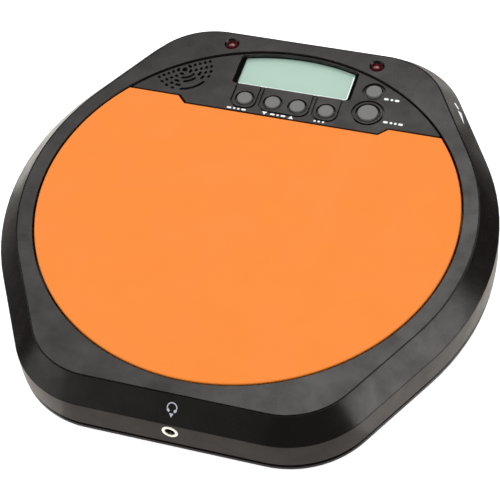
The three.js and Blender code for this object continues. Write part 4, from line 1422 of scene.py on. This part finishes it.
def make_volume_mark():
    """A dash and a wedge over the volume wheel, placed by how far along and out they lie."""
    tilt = math.atan(SLOPE_STEEPNESS)

    def place(along, out):
        return Vector((along * MM, (out * MM - CREST) / math.cos(tilt)))

    dash = stroke([place(38.5, 115.3), place(34.8, 116.1)], 1.3 * MM)
    wedge = [place(33.2, 115.2), place(32.4, 116.8), place(23.4, 115.4)]
    mark = join(slope_mark("volume_mark", VOLUME_ANGLE, dash), slope_mark("wedge", VOLUME_ANGLE, wedge))
    present(mark, "case_plastic", material=WHITE_PRINT)


# ---------------------------------- studio


def make_stage():
    """A pale paper floor, bright enough to hide the soft shadow round the case."""
    reach = 3
    floor = block("floor", (-reach, -reach, -20 * MM), (reach, reach, 0))
    surface = Surface("floor_paper", 0.9)
    surface.colour((0.9, 0.9, 0.9, 1), (0.93, 0.93, 0.93, 1), surface.noise(400 * MM, 2))
    surface.relief(surface.noise(4 * MM), 0.1 * MM)
    surface.set("Specular IOR Level", 0.1)
    surface.set("Emission Color", (1, 1, 1, 1))
    surface.set("Emission Strength", 0.6)
    floor.data.materials.append(surface.material)
    floor.visible_glossy = False


def make_world():
    """Even white light from all round, left out of the reflections."""
    world = bpy.data.worlds.new("studio")
    bpy.context.scene.world = world
    world.use_nodes = True
    background = world.node_tree.nodes["Background"]
    background.inputs["Color"].default_value = (1, 1, 1, 1)
    background.inputs["Strength"].default_value = 1.2
    world.cycles_visibility.glossy = False


def add_light(name, shape, width, height, radiance, tint):
    """An area light of even radiance, seen only in reflections."""
    light = bpy.data.lights.new(name, "AREA")
    light.shape = shape
    light.size = width
    light.size_y = height
    area = width * height * (math.pi / 4 if shape == "ELLIPSE" else 1)
    light.energy = radiance * math.pi * area
    light.color = tint
    lamp = bpy.data.objects.new(name, light)
    bpy.context.scene.collection.objects.link(lamp)
    lamp.visible_diffuse = False
    lamp.visible_camera = False
    return lamp


def add_softbox(name, azimuth, elevation, half_width, half_height, radiance, tint=(1, 0.97, 0.95)):
    """A softbox facing the pad: its direction and its half extents as angles in degrees."""
    distance = 1.6
    lamp = add_light(name, "RECTANGLE", 2 * distance * math.tan(half_width * DEGREE),
                     2 * distance * math.tan(half_height * DEGREE), radiance, tint)
    level = math.cos(elevation * DEGREE)
    towards = Vector((math.cos(azimuth * DEGREE) * level, math.sin(azimuth * DEGREE) * level,
                      math.sin(elevation * DEGREE)))
    lamp.location = towards * distance
    lamp.rotation_euler = towards.to_track_quat("Z", "Y").to_euler()


def add_bounce_card(name, x, y, width, height, radiance, tint=(1, 0.95, 0.9)):
    """White paper on the table, for the reflections low on the case."""
    card = add_light(name, "ELLIPSE", width, height, radiance, tint)
    card.location = (x, y, 0.3 * MM)
    card.rotation_euler = (math.pi, 0, 0)


def make_lights():
    """Softboxes round the pad, and the table's own paper where the low walls mirror it."""
    # azimuth, elevation, half width, half height, radiance
    add_softbox("rear_softbox", 118, 53, 18, 12, 1.65)
    add_softbox("overhead_softbox", 92, 60, 12, 12, 1.7)
    add_softbox("key_softbox", 0, 16, 17, 10, 3.2, (1, 0.96, 0.93))
    add_softbox("fill_softbox", -150, 12, 20, 9, 1.2)
    add_softbox("fill_feather", -118, 20, 12, 9, 0.42)
    # x, y, width, depth, radiance
    add_bounce_card("bounce_card", 0, 0, 0.37, 0.37, 0.56, (1, 0.92, 0.85))
    add_bounce_card("key_bounce", 0.13, -0.05, 0.1, 0.16, 0.3)
    add_bounce_card("corner_bounce", 0.095, 0.192, 0.07, 0.08, 0.85)
    add_bounce_card("left_bounce", -0.215, 0.015, 0.1, 0.14, 0.25)
    add_bounce_card("left_rear_bounce", -0.145, 0.062, 0.05, 0.1, 0.95)
    add_bounce_card("left_wall_bounce", -0.085, -0.11, 0.06, 0.05, 0.3)


def make_camera():
    """The camera at the photograph's viewing angle."""
    azimuth = 22.72 * DEGREE
    elevation = 51.47 * DEGREE
    roll = -7.57 * DEGREE
    distance = 7.394 * PAD_RADIUS
    target = Vector((0.0963 * PAD_RADIUS, -0.2526 * PAD_RADIUS, TOP))
    level_reach = math.cos(elevation)
    back = Vector((math.sin(azimuth) * level_reach, -math.cos(azimuth) * level_reach, math.sin(elevation)))
    level = Vector((math.cos(azimuth), math.sin(azimuth), 0))
    upright = back.cross(level)
    right = math.cos(roll) * level + math.sin(roll) * upright
    up = math.cos(roll) * upright - math.sin(roll) * level
    data = bpy.data.cameras.new("camera")
    data.sensor_width = 36
    data.lens = 116.72
    camera = bpy.data.objects.new("camera", data)
    bpy.context.scene.collection.objects.link(camera)
    turn = Matrix((right, up, back)).transposed().to_4x4()
    camera.matrix_world = Matrix.Translation(target + back * distance) @ turn
    bpy.context.scene.camera = camera


dress_cad_nodes()
make_upper_case()
make_lower_case()
make_battery_door()
make_feet()
make_screws()
make_drum_pad()
make_control_panel()
make_display()
make_keys()
make_leds()
make_headphone_jack()
make_volume_wheel()
make_batteries()
make_panel_marks()
make_headphone_mark()
make_volume_mark()
make_stage()
make_world()
make_lights()
make_camera()
bpy.context.scene.view_settings.view_transform = "Standard"

bpy.context.view_layer.update()
